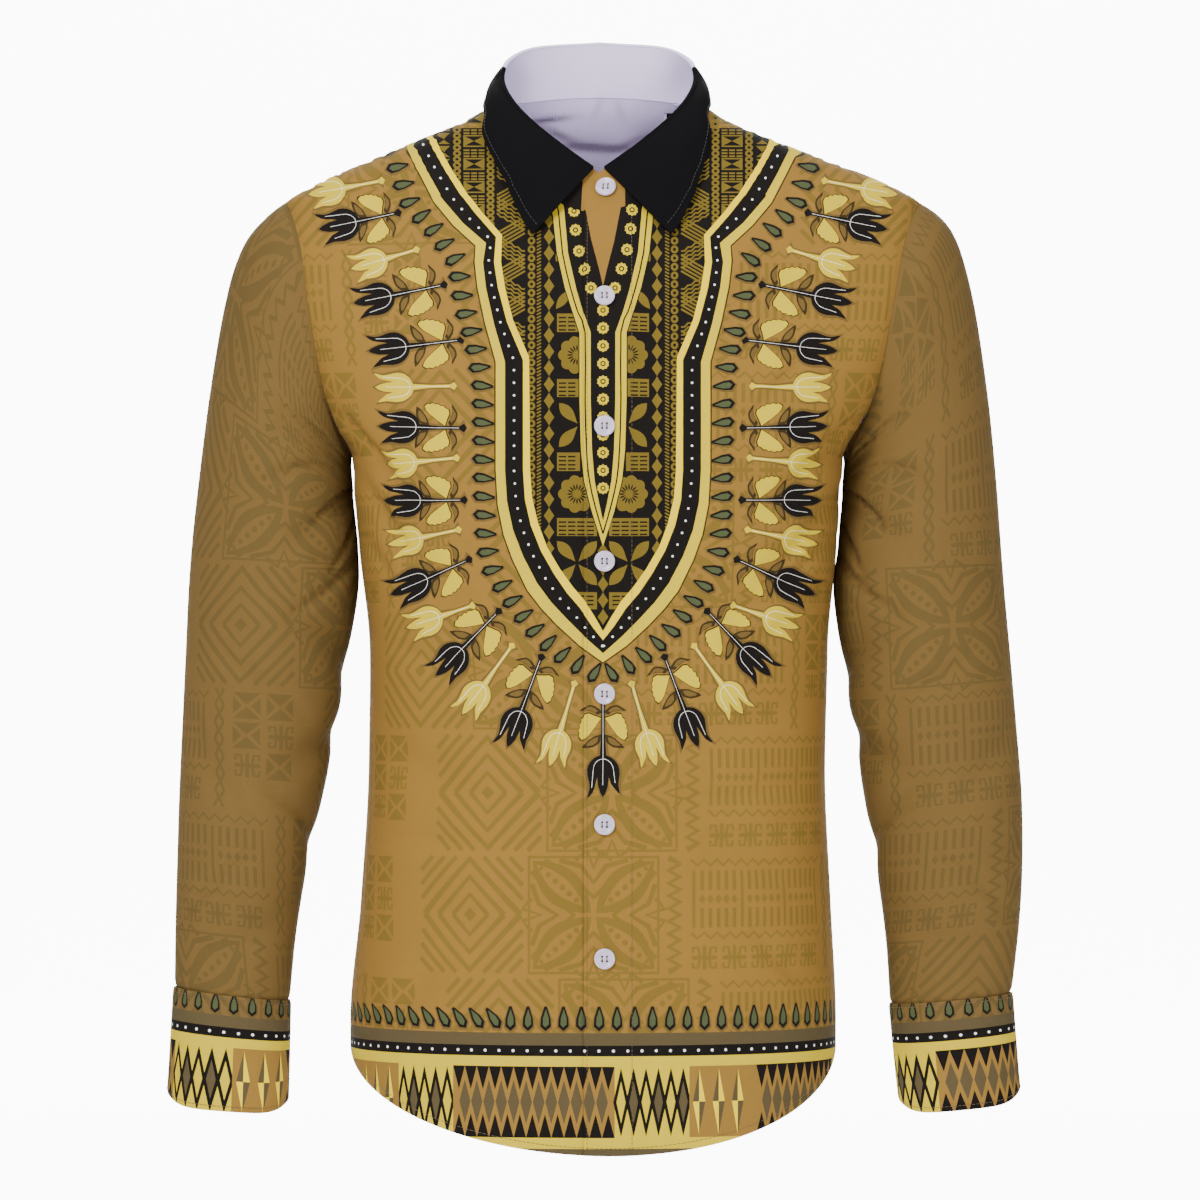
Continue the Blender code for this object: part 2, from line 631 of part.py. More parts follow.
def make_cuff(side, name, material):
    """A cuff: one band whose over end laps the under end behind the wrist. Returns the button's place."""
    turns = 2 * math.pi + CUFF_OVERLAP
    along = np.arange(CUFF_AROUND + 1) / CUFF_AROUND * turns
    angles = CUFF_SEAM_ANGLE + along
    step_start = turns - CUFF_OVERLAP * CUFF_STEP_START
    step = CUFF_RAISE * smoothstep((along - step_start) / (CUFF_OVERLAP * CUFF_STEP_LENGTH))
    top_row, bottom_row = (np.array(row) for row in CUFF[side])
    rows = []
    row_normals = []
    for index in range(CUFF_ROWS + 1):
        part = index / CUFF_ROWS
        points, normals = ring(side, top_row + (bottom_row - top_row) * part, angles)
        corner = CUFF_CORNER_RISE * np.abs(np.cos(angles)) ** CUFF_CORNER_POWER
        points[:, 2] += corner * part**3
        rows.append(points + normals * step[:, None])
        row_normals.append(normals)
    outer = np.stack(rows)
    normals = np.stack(row_normals)
    wall(name, outer, outer - CUFF_WALL * normals, material, outward=side)
    middle = CUFF_ROWS // 2
    return outer[middle, CUFF_BUTTON_COLUMN], normals[middle, CUFF_BUTTON_COLUMN]


def neck_samples(fronts, backs):
    """The neckline round from the left front's edge to the right front's: points and normals."""
    front_count = len(LAP_COLUMNS) + NECK_QUADS[FRONT]
    back_count = 1 + NECK_QUADS[BACK]
    left = [grid[-1, :front_count] for grid in fronts[LEFT]]
    right = [grid[-1, :front_count][::-1] for grid in fronts[RIGHT]]
    back_left = [grid[-1, :back_count][::-1] for grid in backs[LEFT]]
    back_right = [grid[-1, :back_count] for grid in backs[RIGHT]]
    points = np.concatenate([left[0], back_left[0][1:], back_right[0][1:], right[0][1:]])
    normals = np.concatenate([left[1], back_left[1][1:], back_right[1][1:], right[1][1:]])
    return points, normals


def fold_points(azimuth):
    """The collar's fold, by the angle round from the centre back (plus to the wearer's left), and its normals."""
    face_deep = np.where(np.abs(azimuth) > np.pi / 2, FOLD_DEPTH[FRONT], FOLD_DEPTH[BACK])
    x = FOLD_CENTRE_X + FOLD_HALF_WIDTH * np.sin(azimuth)
    y = face_deep * np.cos(azimuth)
    z = FOLD_HEIGHT(np.degrees(np.abs(azimuth)))
    across = np.stack([np.sin(azimuth) / FOLD_HALF_WIDTH, np.cos(azimuth) / face_deep, 0 * x], axis=-1)
    return np.stack([x, y, z], axis=-1), unit(across)


def make_stand(fronts, backs, material):
    """The collar stand. Returns its outer points and normals, and the angles they stand at."""
    base, base_normals = neck_samples(fronts, backs)
    front_count = len(LAP_COLUMNS) + NECK_QUADS[FRONT]
    centre = float(CENTRE(NECK_SIDE_Z))
    sine = np.clip((base[:, 0] - centre) / NECK_HALF_WIDTH, -1, 1)
    azimuth = np.arcsin(sine)
    azimuth[:front_count] = np.pi - azimuth[:front_count]
    azimuth[-front_count:] = -np.pi - azimuth[-front_count:]
    top, top_normals = fold_points(azimuth)
    lifted = np.zeros(len(base))
    lifted[:front_count] = lap_raise(base[:front_count, 0])
    top = top + top_normals * lifted[:, None]
    over = unit(top - base)
    start = base + STAND_SEAM_STEP * over
    share = (np.arange(STAND_ROWS + 1) / STAND_ROWS)[:, None, None]
    outer = start + (top - start) * share
    tangent = np.stack([edge_tangent(row) for row in outer])
    normals = unit(np.cross(tangent, np.broadcast_to(over, outer.shape)))
    normals = normals * np.sign(np.sum(normals * top_normals, axis=-1, keepdims=True))
    wall("collar_stand", outer, outer - COLLAR_WALL * normals, material, outward=1)
    return outer, normals, azimuth


def make_leaf(stand_azimuth, material):
    """The collar leaf, from the fold down and out to its edge and its two points."""
    end = math.pi / 2 + math.acos(LEAF_HALF_GAP_X / FOLD_HALF_WIDTH)
    within = stand_azimuth[np.abs(stand_azimuth) < end - LEAF_END_ANGLE]
    azimuth = np.concatenate([[end], within, [-end]])
    top, top_normals = fold_points(azimuth)
    in_front = np.abs(azimuth) > np.pi / 2
    lifted = np.where(in_front, lap_raise(np.abs(top[:, 0])), 0)
    top = top + top_normals * (LEAF_SEAM_STEP + COLLAR_WALL + lifted)[:, None]
    turned = np.abs(azimuth) / end * 180
    part = LEAF_EDGE_PART(turned)
    edge_z = LEAF_EDGE_Z(turned)
    edge_x = CENTRE(edge_z) + np.sign(azimuth) * part * half_width(edge_z)
    edge = np.empty_like(top)
    for face, lies in ((FRONT, turned >= 90), (BACK, turned < 90)):
        points, normals = skin_points(edge_x[lies], edge_z[lies], face)
        edge[lies] = points + normals * LEAF_LIFT
    share = (np.arange(LEAF_ROWS + 1) / LEAF_ROWS)[:, None, None]
    drop = edge - top
    lift_way = unit(np.cross(edge_tangent(top), drop))
    lift_way = lift_way * np.sign(np.sum(lift_way * top_normals, axis=-1, keepdims=True))
    outer = top + drop * share + lift_way * LEAF_BULGE * np.sin(np.pi * share)
    across = np.stack([edge_tangent(row) for row in outer])
    down = np.gradient(outer, axis=0)
    normals = unit(np.cross(across, down))
    normals = normals * np.sign(np.sum(normals * lift_way, axis=-1, keepdims=True))
    normals[0] = unit(top_normals)
    wall("collar_leaf", outer, outer - COLLAR_WALL * normals, material, outward=-1)


def make_button(name, place, normal, gap, material):
    """A round button with a raised rim and a dished face, lying on a skin."""
    profile = (
        (0.0, 0.0),
        (BUTTON_RADIUS * 0.92, 0.0),
        (BUTTON_RADIUS, BUTTON_THICKNESS * 0.35),
        (BUTTON_RADIUS * 0.96, BUTTON_THICKNESS * 0.85),
        (BUTTON_RADIUS - BUTTON_RIM * 0.5, BUTTON_THICKNESS),
        (BUTTON_RADIUS - BUTTON_RIM, BUTTON_THICKNESS - BUTTON_DISH),
        (0.0, BUTTON_THICKNESS - BUTTON_DISH),
    )
    up = unit(np.asarray(normal, dtype=float))
    side = unit(np.cross(up, np.array([0.0, 0.0, 1.0])))
    top = np.cross(side, up)
    turn = 2 * np.pi * np.arange(BUTTON_SIDES) / BUTTON_SIDES
    rim = np.cos(turn)[:, None] * side + np.sin(turn)[:, None] * top
    base = np.asarray(place) + up * gap
    vertices = [base + up * profile[0][1]]
    for radius, height in profile[1:-1]:
        vertices.extend(base + rim * radius + up * height)
    vertices.append(base + up * profile[-1][1])
    faces = []
    last = len(vertices) - 1
    for i in range(BUTTON_SIDES):
        j = (i + 1) % BUTTON_SIDES
        faces.append((0, 1 + i, 1 + j))
        for level in range(len(profile) - 3):
            low = 1 + level * BUTTON_SIDES
            high = low + BUTTON_SIDES
            faces.append((low + i, high + i, high + j, low + j))
        high = 1 + (len(profile) - 3) * BUTTON_SIDES
        faces.append((high + i, last, high + j))
    return add_mesh(name, vertices, faces, material)


def make_label(material):
    """A small blank tab that hangs inside the back neck from its seam."""
    x = LABEL_X + LABEL_WIDTH * (np.arange(3) / 2 - 0.5)
    z = NECK_SIDE_Z - LABEL_WALL - LABEL_DROP * np.arange(4)[:, None] / 3
    points, normals = skin_points(x + 0 * z, z + 0 * x, BACK)
    outer = points - normals * LABEL_INSET
    wall("neck_label", outer, outer - LABEL_WALL * normals, material, outward=1)


def clear_scene():
    """Removes what the scene starts with."""
    for obj in list(bpy.data.objects):
        bpy.data.objects.remove(obj, do_unlink=True)


def main():
    """Builds every piece of the shirt."""
    clear_scene()
    cloth = make_material("cloth", CLOTH_COLOUR, CLOTH_ROUGHNESS)
    sleeve_cloth = make_material("sleeve_cloth", SLEEVE_COLOUR, CLOTH_ROUGHNESS)
    cuff_cloth = make_material("cuff_cloth", CUFF_COLOUR, CLOTH_ROUGHNESS)
    collar_cloth = make_material("collar_cloth", COLLAR_COLOUR, CLOTH_ROUGHNESS)
    label_cloth = make_material("label_cloth", LABEL_COLOUR, CLOTH_ROUGHNESS)
    pearl = make_material("pearl", BUTTON_COLOUR, BUTTON_ROUGHNESS)

    fronts = make_fronts(cloth)
    backs = make_back(cloth)
    for side, word in ((LEFT, "left"), (RIGHT, "right")):
        make_sleeve(side, f"sleeve_{word}", fronts, backs, sleeve_cloth)
        place, normal = make_cuff(side, f"cuff_{word}", cuff_cloth)
        make_button(f"button_cuff_{word}", place, normal, CUFF_BUTTON_GAP, pearl)
    stand, stand_normals, azimuth = make_stand(fronts, backs, cloth)
    make_leaf(azimuth, collar_cloth)
    make_label(label_cloth)

    for number, height in enumerate(FRONT_BUTTON_HEIGHTS, start=1):
        place, normal = skin_points(BUTTON_LINE_X, height, FRONT, LAP_RAISE)
        make_button(f"button_front_{number}", place, normal, BUTTON_GAP, pearl)
    place = stand[1:3, 1:3].mean(axis=(0, 1))
    normal = stand_normals[1:3, 1:3].mean(axis=(0, 1))
    make_button("button_stand", place, normal, STAND_BUTTON_GAP, pearl)


main()
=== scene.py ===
"""Dressed model of a long-sleeved, button-front dashiki shirt in printed cloth.

Metres, +Z up. The front faces -Y, and +X is the wearer's left. The print is laid out in cloth
pixels of 0.73 mm, with x growing to the wearer's left from 603 at the centre line and y growing
downwards from 120 at the origin.
"""

import logging
import math
from collections.abc import Callable, Iterable, Sequence
from dataclasses import dataclass, field
from enum import Enum, IntEnum

import bpy
import numpy as np
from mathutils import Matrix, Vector
from mathutils.geometry import delaunay_2d_cdt


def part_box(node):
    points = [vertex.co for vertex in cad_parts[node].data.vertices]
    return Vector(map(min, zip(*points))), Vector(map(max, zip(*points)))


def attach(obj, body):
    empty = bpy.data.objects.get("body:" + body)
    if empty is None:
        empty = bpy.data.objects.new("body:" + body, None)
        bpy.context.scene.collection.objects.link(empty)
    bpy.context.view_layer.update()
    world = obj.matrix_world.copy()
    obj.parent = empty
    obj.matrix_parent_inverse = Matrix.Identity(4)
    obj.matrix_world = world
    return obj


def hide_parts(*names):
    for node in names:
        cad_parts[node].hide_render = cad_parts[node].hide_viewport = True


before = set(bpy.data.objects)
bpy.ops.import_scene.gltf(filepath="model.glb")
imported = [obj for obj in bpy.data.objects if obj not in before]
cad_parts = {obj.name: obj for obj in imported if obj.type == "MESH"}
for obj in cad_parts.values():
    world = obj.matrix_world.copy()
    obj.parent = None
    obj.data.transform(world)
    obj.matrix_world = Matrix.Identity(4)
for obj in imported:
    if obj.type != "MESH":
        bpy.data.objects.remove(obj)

LOG = logging.getLogger("dashiki_shirt")
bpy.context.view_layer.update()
BODY = "root"
PIXEL = 0.00073
MIDDLE_X = 603.0
ORIGIN_Y = 120.0
EYE = (-0.0022, -5.0, -0.3504)
VIEW_WIDTH = 0.876

Array = np.ndarray
CORNERS = ((-1, -1), (-1, 1), (1, -1), (1, 1))


class Side(IntEnum):
    """The wearer's left or right, as the sign of X."""

    LEFT = 1
    RIGHT = -1


class Face(IntEnum):
    """The front or the back of the body, as the sign of Y."""

    FRONT = -1
    BACK = 1


WALL = 0.0015
CUFF_WALL = 0.002
COLLAR_WALL = 0.0017
LAYER_GAP = 0.00045
CLOTH_THICKNESS = 0.0009
DOUBLED_THICKNESS = 0.0016
COLLAR_THICKNESS = 0.0014
LABEL_THICKNESS = 0.0006
STITCH_LIFT = 0.0001
CLOTH_GRID = 0.0048
SLEEVE_GRID = 0.0055
CUFF_GRID = 0.0045
NECK_GRID = 0.0017
BUTTON_GRID = 0.0007
PRINT_STEP = 9.0
CLOTH_NEARNESS = 0.976

TORSO_COLUMNS = ("height", "half_width", "centre", "front", "back", "power")
TORSO = (
    (-0.756, 0.1755, -0.0070, 0.129, 0.126, 2.30),
    (-0.657, 0.1772, -0.0072, 0.127, 0.124, 2.30),
    (-0.569, 0.1714, -0.0053, 0.122, 0.118, 2.35),
    (-0.467, 0.1665, -0.0044, 0.118, 0.110, 2.40),
    (-0.387, 0.1670, -0.0031, 0.122, 0.113, 2.55),
    (-0.314, 0.1738, -0.0037, 0.128, 0.120, 2.85),
    (-0.2467, 0.1792, -0.0040, 0.130, 0.127, 3.40),
)
CHEST = (
    (-0.2467, 0.1792, -0.0040, 0.130, 0.127, 3.40),
    (-0.2175, 0.1935, -0.0030, 0.130, 0.128, 2.95),
    (-0.2000, 0.1995, -0.0025, 0.128, 0.128, 2.75),
    (-0.1510, 0.2091, -0.0018, 0.118, 0.125, 2.45),
    (-0.1200, 0.2140, -0.0015, 0.107, 0.120, 2.38),
    (-0.0971, 0.2179, -0.0010, 0.096, 0.114, 2.33),
    (-0.0730, 0.2250, -0.0006, 0.083, 0.107, 2.30),
    (-0.0595, 0.2318, -0.0004, 0.076, 0.101, 2.30),
)
SHOULDER = (
    (-0.0595, 0.2318, -0.0004, 0.076, 0.101, 2.30),
    (-0.0438, 0.2015, -0.0015, 0.067, 0.094, 2.30),
    (-0.0292, 0.1654, -0.0035, 0.059, 0.087, 2.30),
    (-0.0146, 0.1293, -0.0050, 0.054, 0.077, 2.30),
    (0.0000, 0.0942, -0.0050, 0.051, 0.066, 2.30),
    (0.0110, 0.0770, -0.0040, 0.050, 0.058, 2.30),
    (0.0220, 0.0620, -0.0040, 0.047, 0.052, 2.30),
)
CREASE_COLUMNS = ("side", "start_x", "start_z", "end_x", "end_z", "half_width", "depth")
BODY_CREASES = (
    (1, 0.185, -0.225, 0.110, -0.300, 0.011, 0.0045),
    (1, 0.172, -0.265, 0.085, -0.385, 0.013, 0.0040),
    (1, 0.160, -0.420, 0.060, -0.455, 0.014, 0.0025),
    (1, 0.165, -0.560, 0.070, -0.520, 0.015, 0.0025),
    (-1, 0.190, -0.230, 0.125, -0.290, 0.011, 0.0045),
    (-1, 0.176, -0.275, 0.100, -0.360, 0.013, 0.0035),
    (-1, 0.165, -0.450, 0.080, -0.500, 0.014, 0.0030),
    (-1, 0.170, -0.600, 0.090, -0.560, 0.015, 0.0025),
)
FINE_CREASES = {
    Face.FRONT: (
        (1, 0.190, -0.215, 0.140, -0.262, 0.0045, 0.0022),
        (1, 0.180, -0.262, 0.128, -0.330, 0.0050, 0.0020),
        (1, 0.172, -0.300, 0.120, -0.352, 0.0045, 0.0014),
        (1, 0.152, -0.170, 0.100, -0.225, 0.0060, 0.0012),
        (1, 0.160, -0.350, 0.075, -0.405, 0.0070, 0.0012),
        (1, 0.150, -0.480, 0.040, -0.500, 0.0080, 0.0011),
        (1, 0.160, -0.640, 0.105, -0.585, 0.0075, 0.0012),
        (1, 0.120, -0.075, 0.070, -0.150, 0.0080, -0.0010),
        (-1, 0.192, -0.212, 0.150, -0.268, 0.0045, 0.0022),
        (-1, 0.182, -0.252, 0.140, -0.322, 0.0050, 0.0020),
        (-1, 0.176, -0.300, 0.150, -0.340, 0.0040, 0.0012),
        (-1, 0.150, -0.185, 0.105, -0.245, 0.0060, 0.0012),
        (-1, 0.158, -0.380, 0.060, -0.420, 0.0070, 0.0012),
        (-1, 0.160, -0.520, 0.050, -0.530, 0.0080, 0.0010),
        (-1, 0.165, -0.655, 0.110, -0.610, 0.0075, 0.0012),
        (-1, 0.130, -0.080, 0.080, -0.140, 0.0080, -0.0010),
    ),
    Face.BACK: (
        (1, 0.186, -0.220, 0.120, -0.285, 0.0060, 0.0020),
        (1, 0.178, -0.270, 0.110, -0.365, 0.0070, 0.0018),
        (1, 0.120, -0.090, 0.040, -0.130, 0.0080, 0.0014),
        (1, 0.150, -0.400, 0.030, -0.425, 0.0080, 0.0014),
        (1, 0.155, -0.480, 0.060, -0.505, 0.0075, 0.0012),
        (-1, 0.188, -0.218, 0.130, -0.278, 0.0060, 0.0020),
        (-1, 0.180, -0.262, 0.105, -0.350, 0.0070, 0.0018),
        (-1, 0.110, -0.100, 0.030, -0.150, 0.0080, 0.0014),
        (-1, 0.150, -0.420, 0.020, -0.455, 0.0080, 0.0014),
        (-1, 0.160, -0.540, 0.070, -0.520, 0.0075, 0.0012),
    ),
}
SLEEVE_CREASE_COLUMNS = ("angle_deg", "distance", "slant", "half_width", "half_angle_deg", "depth")
SLEEVE_CREASES = (
    (120, 0.060, -0.035, 0.012, 50, 0.0040),
    (135, 0.135, -0.045, 0.014, 55, 0.0035),
    (150, 0.235, 0.030, 0.014, 60, 0.0040),
    (160, 0.305, -0.020, 0.013, 60, 0.0045),
    (60, 0.330, 0.040, 0.016, 50, 0.0030),
    (200, 0.385, 0.030, 0.015, 65, 0.0035),
    (100, 0.450, -0.025, 0.014, 60, 0.0030),
    (250, 0.180, 0.030, 0.014, 50, 0.0035),
    (240, 0.300, -0.030, 0.014, 55, 0.0040),
    (280, 0.420, 0.025, 0.015, 55, 0.0030),
)
FINE_SLEEVE_CREASES = (
    (128, 0.040, -0.030, 0.005, 42, 0.0020),
    (150, 0.105, -0.045, 0.005, 34, 0.0024),
    (158, 0.150, -0.040, 0.005, 30, 0.0020),
    (112, 0.095, -0.040, 0.006, 46, 0.0018),
    (140, 0.190, -0.030, 0.006, 40, 0.0016),
    (95, 0.265, 0.025, 0.007, 44, 0.0014),
    (130, 0.350, 0.020, 0.006, 46, 0.0018),
    (70, 0.410, -0.030, 0.007, 42, 0.0014),
    (120, 0.495, 0.020, 0.006, 50, 0.0016),
    (45, 0.520, -0.015, 0.006, 40, 0.0014),
    (230, 0.090, 0.030, 0.006, 46, 0.0018),
    (255, 0.240, -0.020, 0.007, 44, 0.0016),
    (225, 0.345, 0.025, 0.006, 46, 0.0018),
    (290, 0.470, -0.020, 0.007, 42, 0.0014),
    (260, 0.515, 0.018, 0.006, 44, 0.0016),
)
# Painted shadows on the inner side behind the neck, not folds in the shape: x, z, half width, half height, slope
# and darkness of each.
NECK_FOLD_SHADOWS = (
    (-0.0400, 0.0043, 0.0170, 0.0022, 0.10, 0.85),
    (-0.0360, -0.0050, 0.0160, 0.0036, -0.38, 0.60),
    (-0.0060, -0.0152, 0.0260, 0.0030, -0.04, 0.80),
    (0.0240, -0.0105, 0.0160, 0.0036, 0.36, 0.55),
    (0.0370, -0.0010, 0.0180, 0.0075, 0.20, 0.35),
    (-0.0120, -0.0110, 0.0280, 0.0080, -0.10, 0.30),
    (0.0000, -0.0420, 0.0700, 0.0190, 0.00, 0.75),
    (0.0570, 0.0380, 0.0140, 0.0160, 0.30, 0.32),
    (-0.0600, 0.0340, 0.0090, 0.0120, -0.30, 0.18),
    (-0.0040, 0.0130, 0.0040, 0.0060, 1.40, 0.22),
    (0.0120, 0.0120, 0.0040, 0.0060, -1.30, 0.20),
)
FINE_DEPTH = 2.1
FINE_EDGE_FADE = 0.14
CREASE_EDGE_FADE = 0.35
CREASE_TAPER = 0.7
SLOPE_STEP = 0.005
ARMPIT_Z = -0.2467
SHOULDER_Z = -0.0595
ARMHOLE_HALF_DEPTH = 0.068
HEM_SIDE_Z = -0.6716
HEM_DROP = {Face.FRONT: 0.0745, Face.BACK: 0.072}
HEM_LEAN = 0.07
NECK_SIDE_Z = 0.0110
NECK_HALF_WIDTH = 0.077
NECK_BACK_RISE = 0.009
NECK_DROP = 0.083
NECK_POWER = 0.65
BUTTON_LINE_X = 0.0010
LAP_HALF_X = 0.0146
LAP_RAISE = WALL + LAYER_GAP
LAP_FLAT_X = 0.0165
LAP_END_X = 0.0340
TURN_RADIUS = 0.16

RING_COLUMNS = ("outer_x", "outer_z", "inner_x", "inner_z", "half_depth", "forward")
BESIDE_BODY = 0.0
SLEEVE = {
    Side.RIGHT: (
        (0.2475, -0.0730, BESIDE_BODY, -0.2526, 0.0670, 0.000),
        (0.2599, -0.0876, BESIDE_BODY, -0.2570, 0.0668, 0.000),
        (0.2694, -0.1095, BESIDE_BODY, -0.2613, 0.0665, 0.000),
        (0.2767, -0.1387, BESIDE_BODY, -0.2657, 0.0660, 0.000),
        (0.2832, -0.1752, BESIDE_BODY, -0.2701, 0.0655, 0.000),
        (0.2891, -0.2153, BESIDE_BODY, -0.2774, 0.0650, 0.001),
        (0.2949, -0.2628, BESIDE_BODY, -0.2920, 0.0640, 0.002),
        (0.2993, -0.3029, BESIDE_BODY, -0.3139, 0.0630, 0.003),
        (0.3022, -0.3416, 0.1785, -0.3446, 0.0620, 0.004),
        (0.3044, -0.3913, 0.1869, -0.3971, 0.0590, 0.006),
        (0.3066, -0.4416, 0.1949, -0.4489, 0.0560, 0.008),
        (0.3088, -0.4927, 0.2059, -0.5015, 0.0520, 0.010),
        (0.3102, -0.5431, 0.2168, -0.5526, 0.0470, 0.012),
        (0.3113, -0.5869, 0.2237, -0.5964, 0.0420, 0.013),
        (0.3118, -0.6309, 0.2279, -0.6409, 0.0365, 0.014),
    ),
    Side.LEFT: (
        (0.2482, -0.0730, BESIDE_BODY, -0.2504, 0.0670, 0.000),
        (0.2577, -0.0876, BESIDE_BODY, -0.2555, 0.0668, 0.000),
        (0.2650, -0.1095, BESIDE_BODY, -0.2606, 0.0665, 0.000),
        (0.2716, -0.1387, BESIDE_BODY, -0.2657, 0.0660, 0.000),
        (0.2774, -0.1752, BESIDE_BODY, -0.2701, 0.0655, 0.000),
        (0.2825, -0.2153, BESIDE_BODY, -0.2774, 0.0650, 0.001),
        (0.2869, -0.2628, BESIDE_BODY, -0.2920, 0.0640, 0.002),
        (0.2898, -0.3029, BESIDE_BODY, -0.3139, 0.0630, 0.003),
        (0.2927, -0.3416, BESIDE_BODY, -0.3446, 0.0620, 0.004),
        (0.2971, -0.3913, 0.1752, -0.4000, 0.0590, 0.006),
        (0.3011, -0.4395, 0.1832, -0.4511, 0.0560, 0.008),
        (0.3051, -0.4927, 0.1920, -0.5052, 0.0520, 0.010),
        (0.3055, -0.5431, 0.2004, -0.5555, 0.0470, 0.012),
        (0.3030, -0.5869, 0.2059, -0.5986, 0.0420, 0.013),
        (0.2975, -0.6352, 0.2088, -0.6432, 0.0365, 0.014),
    ),
}
SLEEVE_CLEARANCE = 0.0010
SLEEVE_SEAM_STEP = 0.0004
SETTLE_RINGS = 6
SETTLE_SHARE = 0.6
UNDERARM_TURN = 0.6
CREASE_FADE_TOP = 0.05
CREASE_FADE_CUFF = 0.04
CUFF = {
    Side.RIGHT: (
        (0.3130, -0.6315, 0.2269, -0.6415, 0.0370, 0.014),
        (0.3175, -0.7170, 0.2285, -0.7235, 0.0350, 0.016),
    ),
    Side.LEFT: (
        (0.2985, -0.6358, 0.2078, -0.6438, 0.0370, 0.014),
        (0.3040, -0.7150, 0.2150, -0.7235, 0.0350, 0.016),
    ),
}
CUFF_CORNER_RISE = 0.009
CUFF_CORNER_POWER = 6
CUFF_SEAM_ANGLE = math.radians(-62)
CUFF_OVERLAP = math.radians(38)
CUFF_RAISE = CUFF_WALL + LAYER_GAP
CUFF_STEP_START = 1.9
CUFF_STEP_LENGTH = 0.8

FOLD_COLUMNS = ("azimuth_deg", "height")
FOLD = (
    (0, 0.0590),
    (37, 0.0555),
    (70, 0.0440),
    (90, 0.0310),
    (105, 0.0210),
    (125, 0.0050),
    (155, -0.0205),
    (180, -0.0425),
)
FOLD_HALF_WIDTH = 0.0705
FOLD_DEPTH = {Face.FRONT: 0.065, Face.BACK: 0.050}
FOLD_CENTRE_X = -0.003
LEAF_COLUMNS = ("azimuth_deg", "edge_part", "edge_z")
LEAF = (
    (180, 0.205, -0.0905),
    (168, 0.238, -0.0800),
    (150, 0.300, -0.0560),
    (135, 0.385, -0.0400),
    (122, 0.520, -0.0240),
    (112, 0.790, -0.0030),
    (102, 0.955, 0.0060),
    (90, 1.000, 0.0090),
    (78, 0.985, 0.0080),
    (65, 0.900, 0.0050),
    (50, 0.740, 0.0030),
    (30, 0.400, 0.0010),
    (0, 0.000, 0.0000),
)
LEAF_HALF_GAP_X = 0.0038
LEAF_SEAM_STEP = 0.0005
LEAF_LIFT = 0.0048
LEAF_BULGE = 0.0030
ROLL_PALE_SHARE = -0.12
ROLL_PALE_TURN = 1.40
STAND_TAN_HALF_X = 0.0152
BUTTON_RADIUS = 0.0075
BUTTON_THICKNESS = 0.0028
BUTTON_GAP = 0.0005
CUFF_BUTTON_GAP = 0.0010
FRONT_BUTTON_HEIGHTS = (-0.1345, -0.2265, -0.3225, -0.4170, -0.5105, -0.6060)
LABEL_X = 0.054
LABEL_INSET = 0.0028
LABEL_WIDTH = 0.016
LABEL_DROP = 0.020


def linear(code: str) -> tuple[float, float, float]:
    """A colour code of six hex digits as linear red, green and blue."""
    parts = [int(code[i : i + 2], 16) / 255 for i in (0, 2, 4)]
    return tuple(c / 12.92 if c <= 0.04045 else ((c + 0.055) / 1.055) ** 2.4 for c in parts)


class Ink(Enum):
    """A printed colour and how fully it covers the ground cloth."""

    GROUND = ("000000", 0.0)
    TONE = ("6A5723", 0.8)
    SHADE = ("554625", 0.75)
    PALE_GOLD = ("C3AA25", 1.0)
    YELLOW = ("E6C60E", 1.0)
    BLACK = ("151210", 1.0)
    WHITE = ("F2EFEA", 1.0)
    GOLD = ("69581F", 1.0)
    OLIVE = ("464D32", 1.0)
    TAUPE = ("50452E", 1.0)
    BROWN = ("342A16", 1.0)
    TAN = ("86662E", 1.0)
    INSIDE = ("E4D6F9", 1.0)
    COLLAR = ("0A090B", 1.0)
    # Painted shade: the dark of a through-hole, laid on the floor of each shallow button pit.
    HOLE_SHADE = ("17131A", 1.0)
    PEARL = ("D2C8DA", 1.0)
    # Painted shadow: the purple shade of the folds behind the neck.
    FOLD = ("56495D", 1.0)

    @property
    def rgba(self) -> tuple[float, float, float, float]:
        """The ink as linear red, green, blue and cover."""
        return (*linear(self.value[0]), self.value[1])


def smoothstep(value: Array) -> Array:
    """0 below 0, 1 above 1, and an eased rise between."""
    t = np.clip(value, 0, 1)
    return t * t * (3 - 2 * t)


def unit(vectors: Array) -> Array:
    """Vectors of length 1, along the last axis."""
    return vectors / np.maximum(np.linalg.norm(vectors, axis=-1, keepdims=True), 1e-12)


def edge_tangent(points: Array) -> Array:
    """Directions along a row of points."""
    ahead = np.concatenate([points[1:], points[-1:]])
    behind = np.concatenate([points[:1], points[:-1]])
    return unit(ahead - behind)


class SmoothCurve:
    """A monotone cubic through points, straight beyond both ends."""

    def __init__(self, at: Array, values: Array) -> None:
        """Works out the tangents.

        Args:
            at: places, growing.
            values: one value at each place.
        """
        self.at, self.values, self.step = at, values, np.diff(at)
        slope = np.diff(values) / self.step
        inner = np.zeros(len(slope) - 1)
        same = slope[:-1] * slope[1:] > 0
        weight_a = 2 * self.step[1:] + self.step[:-1]
        weight_b = self.step[1:] + 2 * self.step[:-1]
        total = weight_a + weight_b
        inner[same] = total[same] / (weight_a[same] / slope[:-1][same] + weight_b[same] / slope[1:][same])
        self.tangent = np.concatenate([slope[:1], inner, slope[-1:]])

    def __call__(self, x: Array) -> Array:
        """The curve's values at x."""
        x = np.asarray(x, dtype=float)
        inside = np.clip(x, self.at[0], self.at[-1])
        i = np.clip(np.searchsorted(self.at, inside, side="right") - 1, 0, len(self.step) - 1)
        t = (inside - self.at[i]) / self.step[i]
        curve = (
            (1 + 2 * t) * (1 - t) ** 2 * self.values[i]
            + t * (1 - t) ** 2 * self.step[i] * self.tangent[i]
            + t * t * (3 - 2 * t) * self.values[i + 1]
            + t * t * (t - 1) * self.step[i] * self.tangent[i + 1]
        )
        return curve + np.where(x < self.at[0], self.tangent[0], self.tangent[-1]) * (x - inside)


